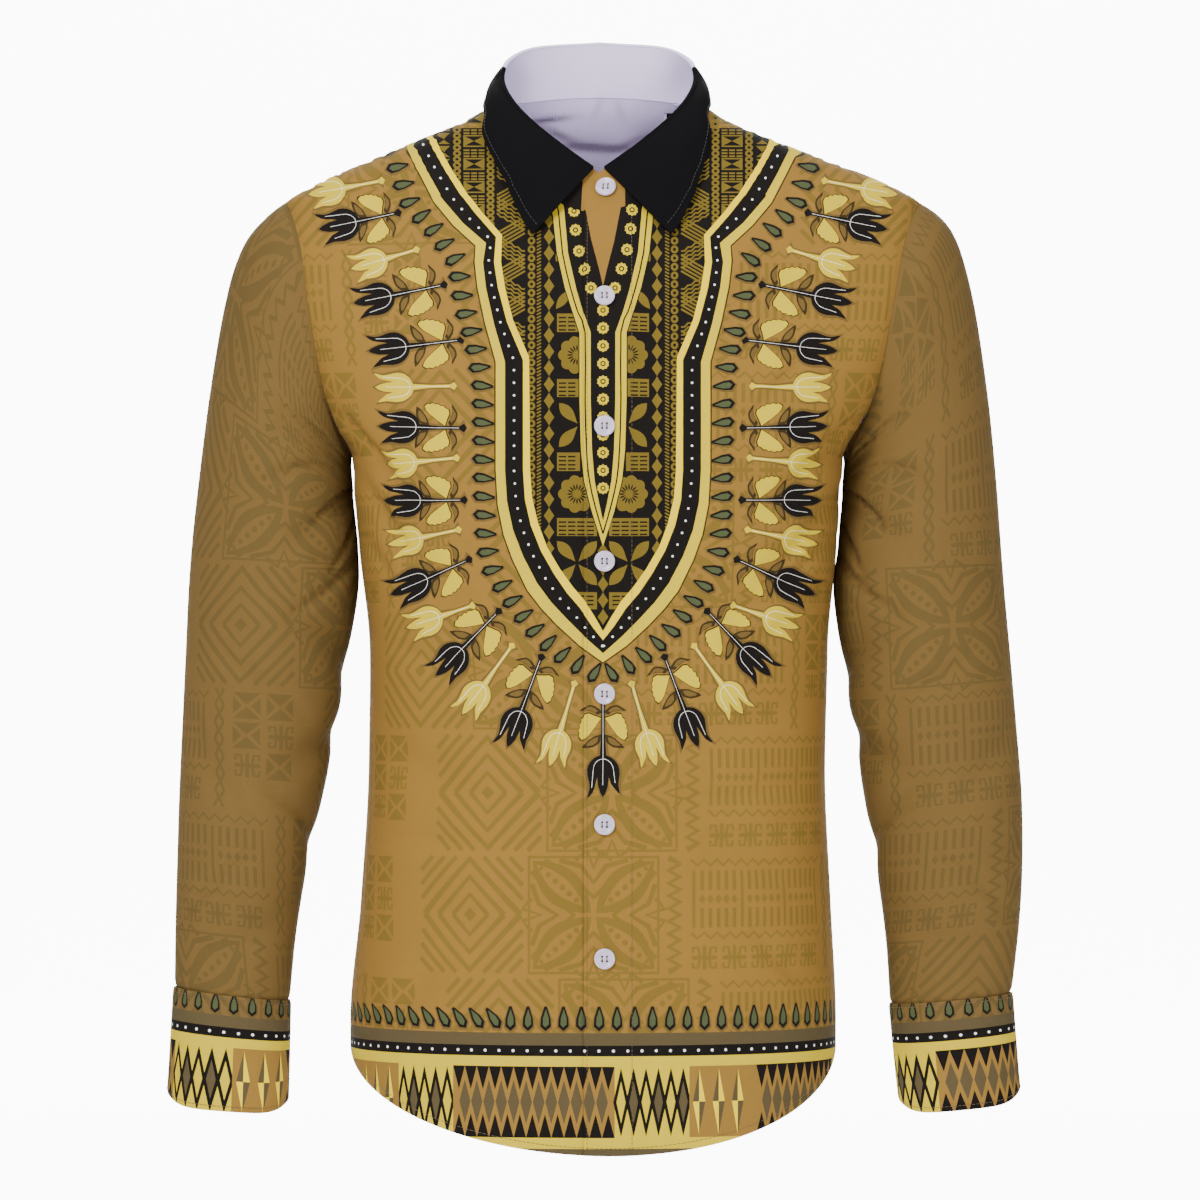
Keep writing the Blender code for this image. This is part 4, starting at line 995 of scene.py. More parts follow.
class Bib:
    """The printed neck panel: its border, the figures in it, and the drops and tulips round it."""

    OUTER = (
        (400, 128), (407, 150), (418, 172), (434, 203), (453, 226), (475, 246), (474, 262), (477, 288),
        (484, 322), (495, 362), (495, 470), (497, 505), (503, 535), (512, 560), (527, 591), (541, 609),
        (556, 625), (579, 646), (603, 663),
    )
    BAND = (
        (409, 128), (417, 150), (429, 174), (444, 201), (463, 223), (486, 243), (483, 262), (486, 288),
        (494, 324), (505, 362), (505, 470), (507, 502), (513, 530), (523, 556), (537, 583), (551, 602),
        (566, 618), (585, 637), (603, 653),
    )
    LINE_OUT = (
        (425, 128), (432, 146), (444, 168), (458, 191), (475, 213), (496, 237), (494, 262), (498, 288),
        (507, 322), (523, 360), (523, 470), (525, 500), (531, 526), (541, 551), (554, 574), (567, 593),
        (580, 608), (592, 626), (603, 640),
    )
    LINE_IN = (
        (432, 128), (439, 146), (451, 168), (465, 190), (481, 211), (502, 235), (501, 262), (505, 288),
        (513, 320), (529, 357), (530, 470), (532, 498), (538, 523), (547, 547), (560, 569), (573, 587),
        (585, 601), (595, 617), (603, 631),
    )
    GOLD_OUT = (
        (546, 190), (553, 216), (557, 253), (565, 288), (573, 313), (579.5, 333), (579.5, 400), (581, 450),
        (584, 480), (592, 512), (603, 546),
    )
    GOLD_IN = (
        (558, 182), (564, 208), (568, 253), (576.5, 290), (583, 312), (590.7, 333), (590.7, 400), (592, 450),
        (594.5, 480), (599, 503), (603, 521),
    )
    SLIT = (
        (582, 160), (584.5, 205), (591, 240), (599, 270), (603, 287), (607, 270), (614, 243), (620.5, 210),
        (624, 160),
    )
    DROPS = (
        (390, 150), (397, 165), (410, 203), (435, 231), (458, 263), (463, 303), (474, 340), (482, 379),
        (483, 415), (484, 500), (486, 545), (493, 571), (516, 606), (539, 635), (569, 660), (603, 676),
    )
    TULIPS = (
        (333, 190, 380, 181, False),
        (345, 224, 397, 213, True),
        (375, 262, 415, 250, False),
        (380, 298, 443, 285, True),
        (395, 348, 460, 340, True),
        (400, 387, 452, 386, False),
        (405, 427, 462, 428, True),
        (405, 463, 455, 458, False),
        (408, 501, 463, 500, True),
        (410, 540, 457, 530, False),
        (415, 584, 468, 560, True),
        (430, 620, 471, 606, False),
        (454, 657, 498, 612, True),
        (477, 694, 511, 647, False),
        (517, 722, 541, 658, True),
        (557, 742, 574, 685, False),
    )
    HEAD = (
        (0, 2), (3, 9), (10, 14.6), (18, 16), (26, 14.2), (34, 13.4), (43, 16), (37, 10), (29, 7.6), (22, 5.6),
        (30, 5.0), (42, 0.4), (32, -4.6), (22, -5.6), (29, -8), (34, -12), (39, -16.6), (29, -15.2),
        (19, -16.6), (10, -15), (3, -9), (0, -2),
    )
    CUP = ((33, 11.4), (22, 10.4), (11, 9.2), (5.4, 5), (4, 0), (5.4, -5), (11, -9.6), (20, -11), (28, -12))
    FAN = (
        (23, 2), (20.5, 9), (18.4, 14), (19.4, 18.2), (22.6, 19.4), (24.4, 21.6), (27.6, 21.6), (29.6, 23.6),
        (33, 23), (35.4, 24.6), (38.6, 23.4), (41.4, 24), (44.8, 21.4), (43.4, 18), (40, 14), (32, 8),
    )
    CURL = ((40, 2.6), (42, 9), (45.6, 14), (52, 20), (51.4, 10), (47, 4))
    FROND = ((16.5, 2), (11.6, 8), (10.4, 14), (12.6, 18), (15.8, 22.4), (15.2, 16), (16.4, 11), (19, 6))

    def region(self, half: Sequence[tuple[float, float]]) -> Array:
        """The closed region between an edge's left half and its mirror image."""
        left = np.array(half, dtype=float)
        return np.concatenate([left, mirrored(left)[-2::-1]])

    def both(self, shapes: Iterable[tuple[Array, Ink]]) -> list[Motif]:
        """Shapes and their mirror images, as placed motifs."""
        found = []
        for points, ink in shapes:
            found.append(Motif(points, ink, placed=True))
            found.append(Motif(mirrored(points), ink, placed=True))
        return found

    def tulip(self, row: tuple[float, float, float, float, bool]) -> list[tuple[Array, Ink]]:
        """One tulip on its stem. A black one also has fans and leaves.

        Args:
            row: the head's centre, the stem's end and whether it is a black one.

        Returns:
            Its shapes, lowest first.
        """
        head_x, head_y, end_x, end_y, black = row
        centre, end = np.array([head_x, head_y], dtype=float), np.array([end_x, end_y], dtype=float)
        way = (centre - end) / np.linalg.norm(centre - end)
        centre, end = centre + 7 * way, end - 5 * way
        size = 1.0 if black else 0.9
        turn = math.atan2(*(centre - end)[::-1])
        start = float(np.linalg.norm(centre - end)) / size - 22
        head = spline(self.HEAD, 2)
        shapes = []

        def lay(points: Array | Sequence, ink: Ink, along: float = 0.0) -> None:
            """Adds a shape that is drawn along the stem."""
            shapes.append((moved(np.asarray(points, dtype=float) + (along, 0), *end, turn, size), ink))

        shrink = min(start / 48, 1.0)
        edge = [(3, 4.4), (7.5, 1.7), (start * 0.6, 1.6), (start + 1, 3.2)]
        stem = [(0, 0), *edge, *((x, -y) for x, y in edge[::-1])]
        lay((head - (20, 0)) * (1.1, 1.16) + (21, 0), Ink.SHADE, start)
        lay(np.array(stem) * (1.02, 2.0), Ink.SHADE)
        if black:
            for side in (-1, 1):
                flip = np.array([shrink, side])
                for leaf in (self.CURL, self.FROND):
                    outer = spline(np.array(leaf), 2)
                    middle = outer.mean(axis=0)
                    lay(((outer - middle) * 1.15 + middle) * flip, Ink.BROWN)
                    lay(((outer - middle) * 0.72 + middle) * flip, Ink.SHADE)
                fan, middle = np.array(self.FAN), np.array([32.0, 15.0])
                lay(((fan - middle) * 1.1 + middle) * flip, Ink.BROWN)
                lay(fan * flip, Ink.PALE_GOLD)
        lay(stem, Ink.BLACK if black else Ink.PALE_GOLD)
        lay(head, Ink.BLACK if black else Ink.PALE_GOLD, start)
        lay(stroke(spline(self.CUP, 2), 0.4), Ink.WHITE, start)
        lay(stroke([(8 - start, 0), (0, 0), (30, 0.3)], 0.35), Ink.WHITE, start)
        return shapes

    def outside(self) -> list[Motif]:
        """The tulips and drops round the bib."""
        found = []
        for row in self.TULIPS:
            found += self.both(self.tulip(row))
        found += [Motif(points, ink, placed=True) for points, ink in self.tulip((603, 770, 603, 700, True))]
        points, angles = resampled(self.DROPS, 18.5)
        for (x, y), angle in zip(points, angles):
            found += self.both(gem(x, y, angle - math.pi / 2 + 0.12))
        return found

    def border(self) -> list[Motif]:
        """The bib's border bands, over the ends of the figures inside."""
        found = []
        edges = [np.array(edge, dtype=float) for edge in (self.OUTER, self.BAND, self.LINE_OUT, self.LINE_IN)]
        for first, second, ink in zip(edges, edges[1:], (Ink.PALE_GOLD, Ink.BLACK, Ink.YELLOW)):
            found += self.both([(np.concatenate([first, second[::-1]]), ink)])
        middle = (edges[1] + edges[2]) / 2
        points, _ = resampled(middle, 12.6, 5)
        found += self.both([(stroke(edges[0], 1.5), Ink.BROWN)])
        return found + self.both((oval(x, y, 1.25, sides=6), Ink.WHITE) for x, y in points)

    def bead(self, x: float, y: float, half: float) -> Array:
        """A tall eight-sided bead."""
        edge = [(1.8, -5), (half, 0), (1.8, 5)]
        return moved([(0, -8.2), *edge, (0, 8.2), *((-a, b) for a, b in edge[::-1])], x, y)

    def rosette(self, x: float, y: float, radius: float) -> list[tuple[Array, Ink]]:
        """A small scalloped flower with a dark ring."""
        turn = 2 * np.pi * np.arange(20) / 20
        reach = radius * np.where(np.arange(20) % 2, 1.0, 0.84)
        petals = np.stack([x + reach * np.cos(turn), y + reach * np.sin(turn)], axis=-1)
        ring, eye = oval(x, y, radius * 0.46), oval(x, y, radius * 0.26, sides=6)
        return [(petals, Ink.PALE_GOLD), (ring, Ink.BLACK), (eye, Ink.PALE_GOLD)]

    def big_rosette(self, x: float, y: float) -> list[tuple[Array, Ink]]:
        """A large scalloped flower with dark rays from its middle."""
        turn = 2 * np.pi * np.arange(72) / 72
        reach = 16.4 + 2.6 * np.abs(np.sin(turn * 4.5))
        shapes = [(np.stack([x + reach * np.cos(turn), y + reach * np.sin(turn)], axis=-1), Ink.GOLD)]
        for angle in np.arange(0, 2 * np.pi, np.pi / 8):
            way = np.array([math.cos(angle), math.sin(angle)])
            shapes.append((lens(np.array([x, y]) + way * 3.6, np.array([x, y]) + way * 10.5, 1.7, 2), Ink.BLACK))
        return shapes

    def barred(self, x0: float, x1: float, y0: float, y1: float) -> list[tuple[Array, Ink]]:
        """A gold box with rows of dark dashes."""
        shapes = [(box(x0, y0, x1, y1), Ink.GOLD)]
        for left in np.arange(x0 + 1.8, x1 - 6, 9.2):
            for y in np.arange(y0 + 3.4, y1 - 2, 4.1):
                shapes.append((box(left, y, left + 7.4, y + 1.5), Ink.BLACK))
        return shapes

    def columns(self) -> list[tuple[Array, Ink]]:
        """The upright columns of small figures on the left half of the black ground."""
        shapes = []
        for y in np.arange(122, 640, 16.4):
            shapes.append((self.bead(549, y, 5.3), Ink.GOLD))
        for y in np.arange(232, 600, 8.7):
            shapes.append((oval(531.5, y, 4.0, 4.2), Ink.GOLD))
            shapes.append((oval(531.5, y, 1.6, 1.8, 6), Ink.BLACK))
        for y in np.arange(232, 600, 3.4):
            shapes.append((stroke([(536.8, y + 1.2), (541, y - 1.2)], 1.5), Ink.GOLD))
        for x in (457.0, 490.5):
            for y in np.arange(118, 330, 5.9):
                shapes.append((oval(x, y, 4.2, 3.6), Ink.GOLD))
                shapes.append((oval(x, y, 1.7, 1.3, 6), Ink.BLACK))
        for y in np.arange(112, 300, 23.0):
            shapes.append((box(463.5, y, 484.5, y + 12), Ink.GOLD))
            shapes.append((np.array([(465, y + 1.4), (483, y + 1.4), (474, y + 6)]), Ink.BLACK))
            shapes.append((np.array([(465, y + 10.6), (474, y + 6), (483, y + 10.6)]), Ink.BLACK))
            for row in (14.4, 17.4, 20.4):
                for left in (463.5, 471.0, 478.5):
                    shapes.append((box(left, y + row, left + 6, y + row + 1.7), Ink.GOLD))
        for y in np.arange(120, 260, 13.0):
            shapes.append((np.array([(438, y), (450, y), (444, y + 6)]), Ink.GOLD))
            shapes.append((np.array([(438, y + 11), (444, y + 6.6), (450, y + 11)]), Ink.GOLD))
        for row, y in enumerate(np.arange(168, 380, 19.0)):
            for step in range(5):
                drop = step * 4.0
                if row % 2:
                    shapes.append((stroke([(497, y + drop + 8), (525, y + drop - 8)], 1.9), Ink.GOLD))
                else:
                    xs = np.linspace(497, 525, 9)
                    ys = y + drop - 8 + (xs - 497) * 0.57 + np.where(np.arange(9) % 2, 0.9, -0.9)
                    shapes.append((stroke(np.stack([xs, ys], axis=-1), 1.7), Ink.GOLD))
        return shapes

    def middle_column(self) -> list[tuple[Array, Ink]]:
        """The petals, barred boxes, large rosettes and flowers beside the gold lines."""
        shapes = [(lens((556, 309), (570, 290), 9, 5), Ink.GOLD), (lens((556, 262), (562, 246), 6, 4), Ink.GOLD)]
        boxes = ((557, 580, 313.5, 332), (557, 580, 379, 397), (557, 580, 452.5, 471), (557, 597, 518, 536))
        for sizes in (*boxes, (566, 597, 592, 609)):
            shapes += self.barred(*sizes)
        shapes += self.big_rosette(577, 355) + self.big_rosette(577, 494)
        for cx, cy, ways in ((579, 425, CORNERS[:2]), (577, 563, CORNERS)):
            for sx, sy in ways:
                ends = (cx + sx * 1.5, cy + sy * 1.5), (cx + sx * 20, cy + sy * 22)
                shapes.append((lens(*ends, 11.5, 6, 0.5), Ink.GOLD))
        shapes.append((lens((577, 612), (590, 622), 6, 4), Ink.GOLD))
        return shapes

    def figures(self) -> list[Motif]:
        """The black ground and every figure on it."""
        found = [Motif(self.region(self.LINE_IN), Ink.BLACK, placed=True)]
        room = self.region([(x + 4, y - 3) for x, y in self.OUTER])
        room[0, 1] = room[-1, 1] = 100
        figures = self.columns() + self.middle_column()
        found += self.both((points, ink) for points, ink in figures if within(points, room).all())
        for y in np.arange(551, 632, 16.4):
            found.append(Motif(self.bead(MIDDLE_X, y, 5.4), Ink.GOLD, placed=True))
        outer, inner = np.array(self.GOLD_OUT, dtype=float), np.array(self.GOLD_IN, dtype=float)
        found.append(Motif(self.region([(x - 1, y) for x, y in self.GOLD_OUT]), Ink.BLACK, placed=True))
        found += self.both([(np.concatenate([outer, inner[::-1]]), Ink.PALE_GOLD)])
        found += self.both([(stroke(spline((outer + inner) / 2, 2), 1.5), Ink.BLACK)])
        found.append(Motif(np.array(self.SLIT), Ink.GROUND, placed=True))
        for y in np.arange(293.4, 492, 17.7):
            found += [Motif(points, ink, placed=True) for points, ink in self.rosette(603, y, 6.2)]
        for x, y in ((574, 211), (575.5, 230), (579, 251), (584.5, 270), (591, 289)):
            found += self.both(self.rosette(x, y, 6.2))
        return found

    def motifs(self) -> list[Motif]:
        """All of the bib, lowest first."""
        return self.outside() + self.figures() + self.border()


@dataclass
class Cut:
    """A flat piece of cloth in triangles, with the ink of each."""

    points: Array
    triangles: Array
    inks: Array


def cut_cloth(outline: Array, marks: Sequence[tuple[Array, Ink]], spacing: float, more: Array | None = None) -> Cut:
    """Cuts a flat outline into triangles that follow the printed shapes.

    Args:
        outline: the cloth's edge, in metres.
        marks: printed shapes and inks, lowest first.
        spacing: the distance between the points that fill the plain cloth.
        more: further points to cut through, where the folds are small.

    Returns:
        The cut cloth.
    """
    low, high = outline.min(axis=0), outline.max(axis=0)
    shapes = [outline]
    inks = [Ink.GROUND]
    for points, ink in marks:
        if (points.max(axis=0) < low).any() or (points.min(axis=0) > high).any():
            continue
        shapes.append(points)
        inks.append(ink)
    columns, rows = (np.ceil((high - low) / spacing)).astype(int)
    i, j = np.meshgrid(np.arange(columns), np.arange(rows), indexing="ij")
    shift = (j % 2) * 0.5
    grid = np.stack([low[0] + (i + 0.25 + shift) * spacing, low[1] + (j + 0.5) * spacing], axis=-1).reshape(-1, 2)
    if more is not None:
        grid = np.concatenate([grid, more])
    grid = grid[within(grid, outline)]
    areas = []
    vertices, faces = [], []
    for points in shapes:
        following = np.roll(points, -1, axis=0)
        area = float((points[:, 0] * following[:, 1] - following[:, 0] * points[:, 1]).sum() / 2)
        areas.append(abs(area))
        start = len(vertices)
        vertices += [Vector(p) for p in (points if area > 0 else points[::-1])]
        faces.append(list(range(start, start + len(points))))
    vertices += [Vector(p) for p in grid]
    out = delaunay_2d_cdt(vertices, [], faces, 1, 1e-7, True)
    places = np.array([tuple(v) for v in out[0]])
    triangles = np.array(out[2])
    owner = np.array([f for i, labels in enumerate(out[5]) for f in ((i, n) for n in labels)])
    corners = places[triangles]
    first, second = corners[:, 1] - corners[:, 0], corners[:, 2] - corners[:, 0]
    sizes = np.abs(first[:, 0] * second[:, 1] - first[:, 1] * second[:, 0]) / 2
    filled = np.bincount(owner[:, 1], weights=sizes[owner[:, 0]], minlength=len(shapes))
    sound = filled < np.array(areas) * 2.5 + 2e-5
    sound[0] = True
    owner = owner[sound[owner[:, 1]]]
    top = np.full(len(triangles), -1)
    np.maximum.at(top, owner[:, 0], owner[:, 1])
    in_cloth = np.zeros(len(triangles), dtype=bool)
    in_cloth[owner[owner[:, 1] == 0, 0]] = True
    keep = in_cloth & (sizes > 1e-12)
    triangles, top = triangles[keep], top[keep]
    used, index = np.unique(triangles, return_inverse=True)
    codes = np.array([ink.rgba for ink in inks])
    return Cut(places[used], index.reshape(-1, 3), codes[top])


class Sock:
    """A node's output that shader maths is written with."""

    def __init__(self, cloth: "Nodes", socket: bpy.types.NodeSocket) -> None:
        """Keeps the socket and the builder that it belongs to."""
        self.cloth, self.socket = cloth, socket

    def maths(self, operation: str, *values: "Sock | float") -> "Sock":
        """A Math node over this value and others."""
        return self.cloth.node("ShaderNodeMath", {"operation": operation}, dict(enumerate(values)))

    def __add__(self, other: "Sock | float") -> "Sock":
        """The sum."""
        return self.maths("ADD", self, other)

    def __radd__(self, other: float) -> "Sock":
        """The sum, with the number first."""
        return self.maths("ADD", other, self)

    def __sub__(self, other: "Sock | float") -> "Sock":
        """The difference."""
        return self.maths("SUBTRACT", self, other)

    def __rsub__(self, other: float) -> "Sock":
        """The difference, with the number first."""
        return self.maths("SUBTRACT", other, self)

    def __mul__(self, other: "Sock | float") -> "Sock":
        """The product."""
        return self.maths("MULTIPLY", self, other)

    def __rmul__(self, other: float) -> "Sock":
        """The product, with the number first."""
        return self.maths("MULTIPLY", other, self)


class Nodes:
    """Builds one material's nodes."""

    def __init__(self, name: str) -> None:
        """Starts a material with only its output and a Principled shader."""
        self.material = bpy.data.materials.new(name)
        self.material.use_nodes = True
        self.tree = self.material.node_tree
        self.shader = self.tree.nodes["Principled BSDF"]

    def node(
        self,
        kind: str,
        settings: dict[str, object] | None = None,
        inputs: dict[str | int, object] | None = None,
        output: int | str = 0,
    ) -> Sock:
        """Adds a node.

        Args:
            kind: the node's type.
            settings: its properties, set first.
            inputs: values or links, by socket name or number.
            output: which output is wanted.

        Returns:
            That output.
        """
        made = self.tree.nodes.new(kind)
        for key, value in (settings or {}).items():
            setattr(made, key, value)
        for key, value in (inputs or {}).items():
            socket = made.inputs[key]
            if isinstance(value, Sock):
                self.tree.links.new(value.socket, socket)
            else:
                socket.default_value = value
        return Sock(self, made.outputs[output])

    def mix(self, factor: "Sock | float", first: object, second: object, blend: str = "MIX") -> Sock:
        """Mixes two colours."""
        inputs = {0: factor, 6: first, 7: second}
        return self.node("ShaderNodeMix", {"data_type": "RGBA", "blend_type": blend}, inputs, 2)

    def feed(self, values: dict[str, object]) -> None:
        """Sets or links the shader's own sockets."""
        for key, value in values.items():
            if isinstance(value, Sock):
                self.tree.links.new(value.socket, self.shader.inputs[key])
            else:
                self.shader.inputs[key].default_value = value


@dataclass(frozen=True)
class PrintedCloth:
    """Printed cotton: a ground colour with ink over it, slubbed threads and a soft sheen."""

    name: str
    ground: str
    mottle: float = 0.10
    roughness: float = 0.78
    sheen: float = 0.01
    thread_depth: float = 0.00025

    def material(self) -> bpy.types.Material:
        """Builds the material."""
        nodes = Nodes(self.name)
        ink = nodes.node("ShaderNodeAttribute", {"attribute_name": "ink"}, output="Color")
        cover = nodes.node("ShaderNodeAttribute", {"attribute_name": "ink"}, output="Alpha")
        flat = nodes.node("ShaderNodeUVMap", {"uv_map": "cloth"})
        warp = self.threads(nodes, flat, (2600.0, 190.0, 1.0))
        weft = self.threads(nodes, flat, (190.0, 2600.0, 1.0))
        thread = warp * 0.5 + weft * 0.5
        noise = {"Vector": flat, "Scale": 22.0, "Detail": 4.0, "Roughness": 0.6}
        patches = nodes.node("ShaderNodeTexNoise", {"noise_dimensions": "2D"}, noise, "Fac")
        base = nodes.mix(cover, (*linear(self.ground), 1.0), ink)
        light = 1 - self.mottle / 2 + patches * self.mottle - 0.09 + thread * 0.18
        tone = nodes.node("ShaderNodeCombineColor", {}, {"Red": light, "Green": light, "Blue": light})
        colour = nodes.mix(1.0, base, tone, "MULTIPLY")
        raised = {"Strength": 0.6, "Distance": self.thread_depth, "Height": thread}
        bump = nodes.node("ShaderNodeBump", {}, raised, "Normal")
        nodes.feed({"Base Color": colour, "Roughness": self.roughness - 0.06 + thread * 0.12, "Normal": bump})
        nodes.feed({"Sheen Weight": self.sheen, "Sheen Roughness": 0.5, "Specular IOR Level": 0.06})
        return nodes.material

    def threads(self, nodes: Nodes, flat: Sock, scale: tuple[float, float, float]) -> Sock:
        """Slubbed threads that run one way across the cloth."""
        stretched = nodes.node("ShaderNodeMapping", {}, {"Vector": flat, "Scale": scale}, "Vector")
        inputs = {"Vector": stretched, "Scale": 1.0, "Detail": 2.0, "Roughness": 0.5}
        return nodes.node("ShaderNodeTexNoise", {"noise_dimensions": "2D"}, inputs, "Fac")


@dataclass(frozen=True)
class Pearl:
    """Pearly button plastic with soft lilac clouds."""

    name: str = "pearl_plastic"

    def material(self) -> bpy.types.Material:
        """Builds the material."""
        nodes = Nodes(self.name)
        ink = nodes.node("ShaderNodeAttribute", {"attribute_name": "ink"}, output="Color")
        flat = nodes.node("ShaderNodeUVMap", {"uv_map": "cloth"})
        inputs = {"Vector": flat, "Scale": 260.0, "Detail": 3.0, "Distortion": 1.6}
        cloud = nodes.node("ShaderNodeTexNoise", {"noise_dimensions": "2D"}, inputs, "Fac")
        colour = nodes.mix(cloud * 0.55, ink, (*linear("7C6C90"), 1.0))
        nodes.feed({"Base Color": colour, "Roughness": 0.18 + cloud * 0.14})
        nodes.feed({"Coat Weight": 0.5, "Coat Roughness": 0.12})
        return nodes.material


@dataclass(frozen=True)
class Thread:
    """Sewing thread with a fine twist."""

    name: str
    colour: str

    def material(self) -> bpy.types.Material:
        """Builds the material."""
        nodes = Nodes(self.name)
        flat = nodes.node("ShaderNodeUVMap", {"uv_map": "cloth"})
        inputs = {"Vector": flat, "Scale": 900.0}
        wave = nodes.node("ShaderNodeTexWave", {"bands_direction": "DIAGONAL"}, inputs, "Fac")
        dark = tuple(c * 0.72 for c in linear(self.colour))
        colour = nodes.mix(wave, (*dark, 1.0), (*linear(self.colour), 1.0))
        nodes.feed({"Base Color": colour, "Roughness": 0.6 + wave * 0.1, "Sheen Weight": 0.2})
        return nodes.material


class Finish:
    """The shirt's materials, each made once."""

    def __init__(self) -> None:
        """Makes every material."""
        self.body = PrintedCloth("body_print", "84632C").material()
        self.sleeve = PrintedCloth("sleeve_print", "654F29").material()
        self.cuff = PrintedCloth("cuff_print", "67512D").material()
        self.collar = PrintedCloth("collar_black", "0A090B", 0.14, 0.85, 0.0, 0.00018).material()
        self.pearl = Pearl().material()
        self.tan_thread = Thread("tan_thread", "5B4527").material()
        self.black_thread = Thread("black_thread", "1C1A20").material()


def finished(obj: bpy.types.Object, nodes: Sequence[str] = ()) -> bpy.types.Object:
    """Fixes a piece to the shirt, and hides the imported parts of the nodes that it stands for."""
    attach(obj, BODY)
    if nodes:
        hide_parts(*nodes)
    LOG.info("%s: %d faces", obj.name, len(obj.data.polygons))
    return obj


def mesh_object(
    name: str,
    points: Array,
    faces: Array,
    normals: Array | None,
    inks: Array,
    flat: Array,
    material: bpy.types.Material,
) -> bpy.types.Object:
    """A mesh object with its print and its flat cloth coordinates.

    Args:
        name: the piece's name.
        points: vertices.
        faces: triangles, as rows of three indices.
        normals: the normal at each face corner, or None for plain smooth shading.
        inks: red, green, blue and cover of each face or of each corner.
        flat: flat cloth coordinates of each vertex, in metres.
        material: its finish.

    Returns:
        The object.
    """
    mesh = bpy.data.meshes.new(name)
    mesh.vertices.add(len(points))
    mesh.vertices.foreach_set("co", np.asarray(points, dtype=np.float32).ravel())
    mesh.loops.add(faces.size)
    mesh.loops.foreach_set("vertex_index", faces.ravel().astype(np.int32))
    mesh.polygons.add(len(faces))
    mesh.polygons.foreach_set("loop_start", np.arange(0, faces.size, 3, dtype=np.int32))
    mesh.polygons.foreach_set("loop_total", np.full(len(faces), 3, dtype=np.int32))
    mesh.update()
    mesh.shade_smooth()
    colour = mesh.color_attributes.new("ink", "FLOAT_COLOR", "CORNER")
    corners = inks if len(inks) == faces.size else np.repeat(inks, 3, axis=0)
    colour.data.foreach_set("color", corners.astype(np.float32).ravel())
    uv = mesh.uv_layers.new(name="cloth")
    uv.data.foreach_set("uv", flat[faces.ravel()].astype(np.float32).ravel())
    if normals is not None:
        mesh.normals_split_custom_set(unit(normals).reshape(-1, 3).tolist())
    mesh.materials.append(material)
    obj = bpy.data.objects.new(name, mesh)
    bpy.context.scene.collection.objects.link(obj)
    return obj


@dataclass
class Surface:
    """A place on cloth as a function of flat coordinates, with the range that it holds."""

    place: Callable[[Array, Array], Array]
    u_range: tuple[float, float]
    v_range: tuple[float, float]
    step: float = 0.0006

    def normals(self, u: Array, v: Array) -> Array:
        """Normals from small steps each way, kept in range."""
        u0, u1 = np.maximum(u - self.step, self.u_range[0]), np.minimum(u + self.step, self.u_range[1])
        v0, v1 = np.maximum(v - self.step, self.v_range[0]), np.minimum(v + self.step, self.v_range[1])
        along = self.place(u1, v) - self.place(u0, v)
        up = self.place(u, v1) - self.place(u, v0)
        return unit(np.cross(along, up))

    def facing(self, u: Array, v: Array, outward: Array) -> int:
        """1 if the normals at some places agree with the outward directions there, else -1."""
        return 1 if np.sum(self.normals(u, v) * outward) > 0 else -1


def inside_tone(points: Array) -> Array:
    """The unprinted side's pale lilac, with soft purple shadow painted in where folds lie behind the neck."""
    x, z = points[:, 0], points[:, 2]
    shade = np.zeros(len(points))
    # Each row adds a soft patch of painted shadow.
    for place_x, place_z, wide, tall, slope, weight in NECK_FOLD_SHADOWS:
        off = z - place_z - slope * (x - place_x)
        shade += weight * np.exp(-(((x - place_x) / wide) ** 2) - (off / tall) ** 2)
    shade = np.clip(shade, 0, 0.85) * (points[:, 1] > 0)
    pale, dark = np.array(Ink.INSIDE.rgba), np.array(Ink.FOLD.rgba)
    return pale + (dark - pale) * shade[:, None]


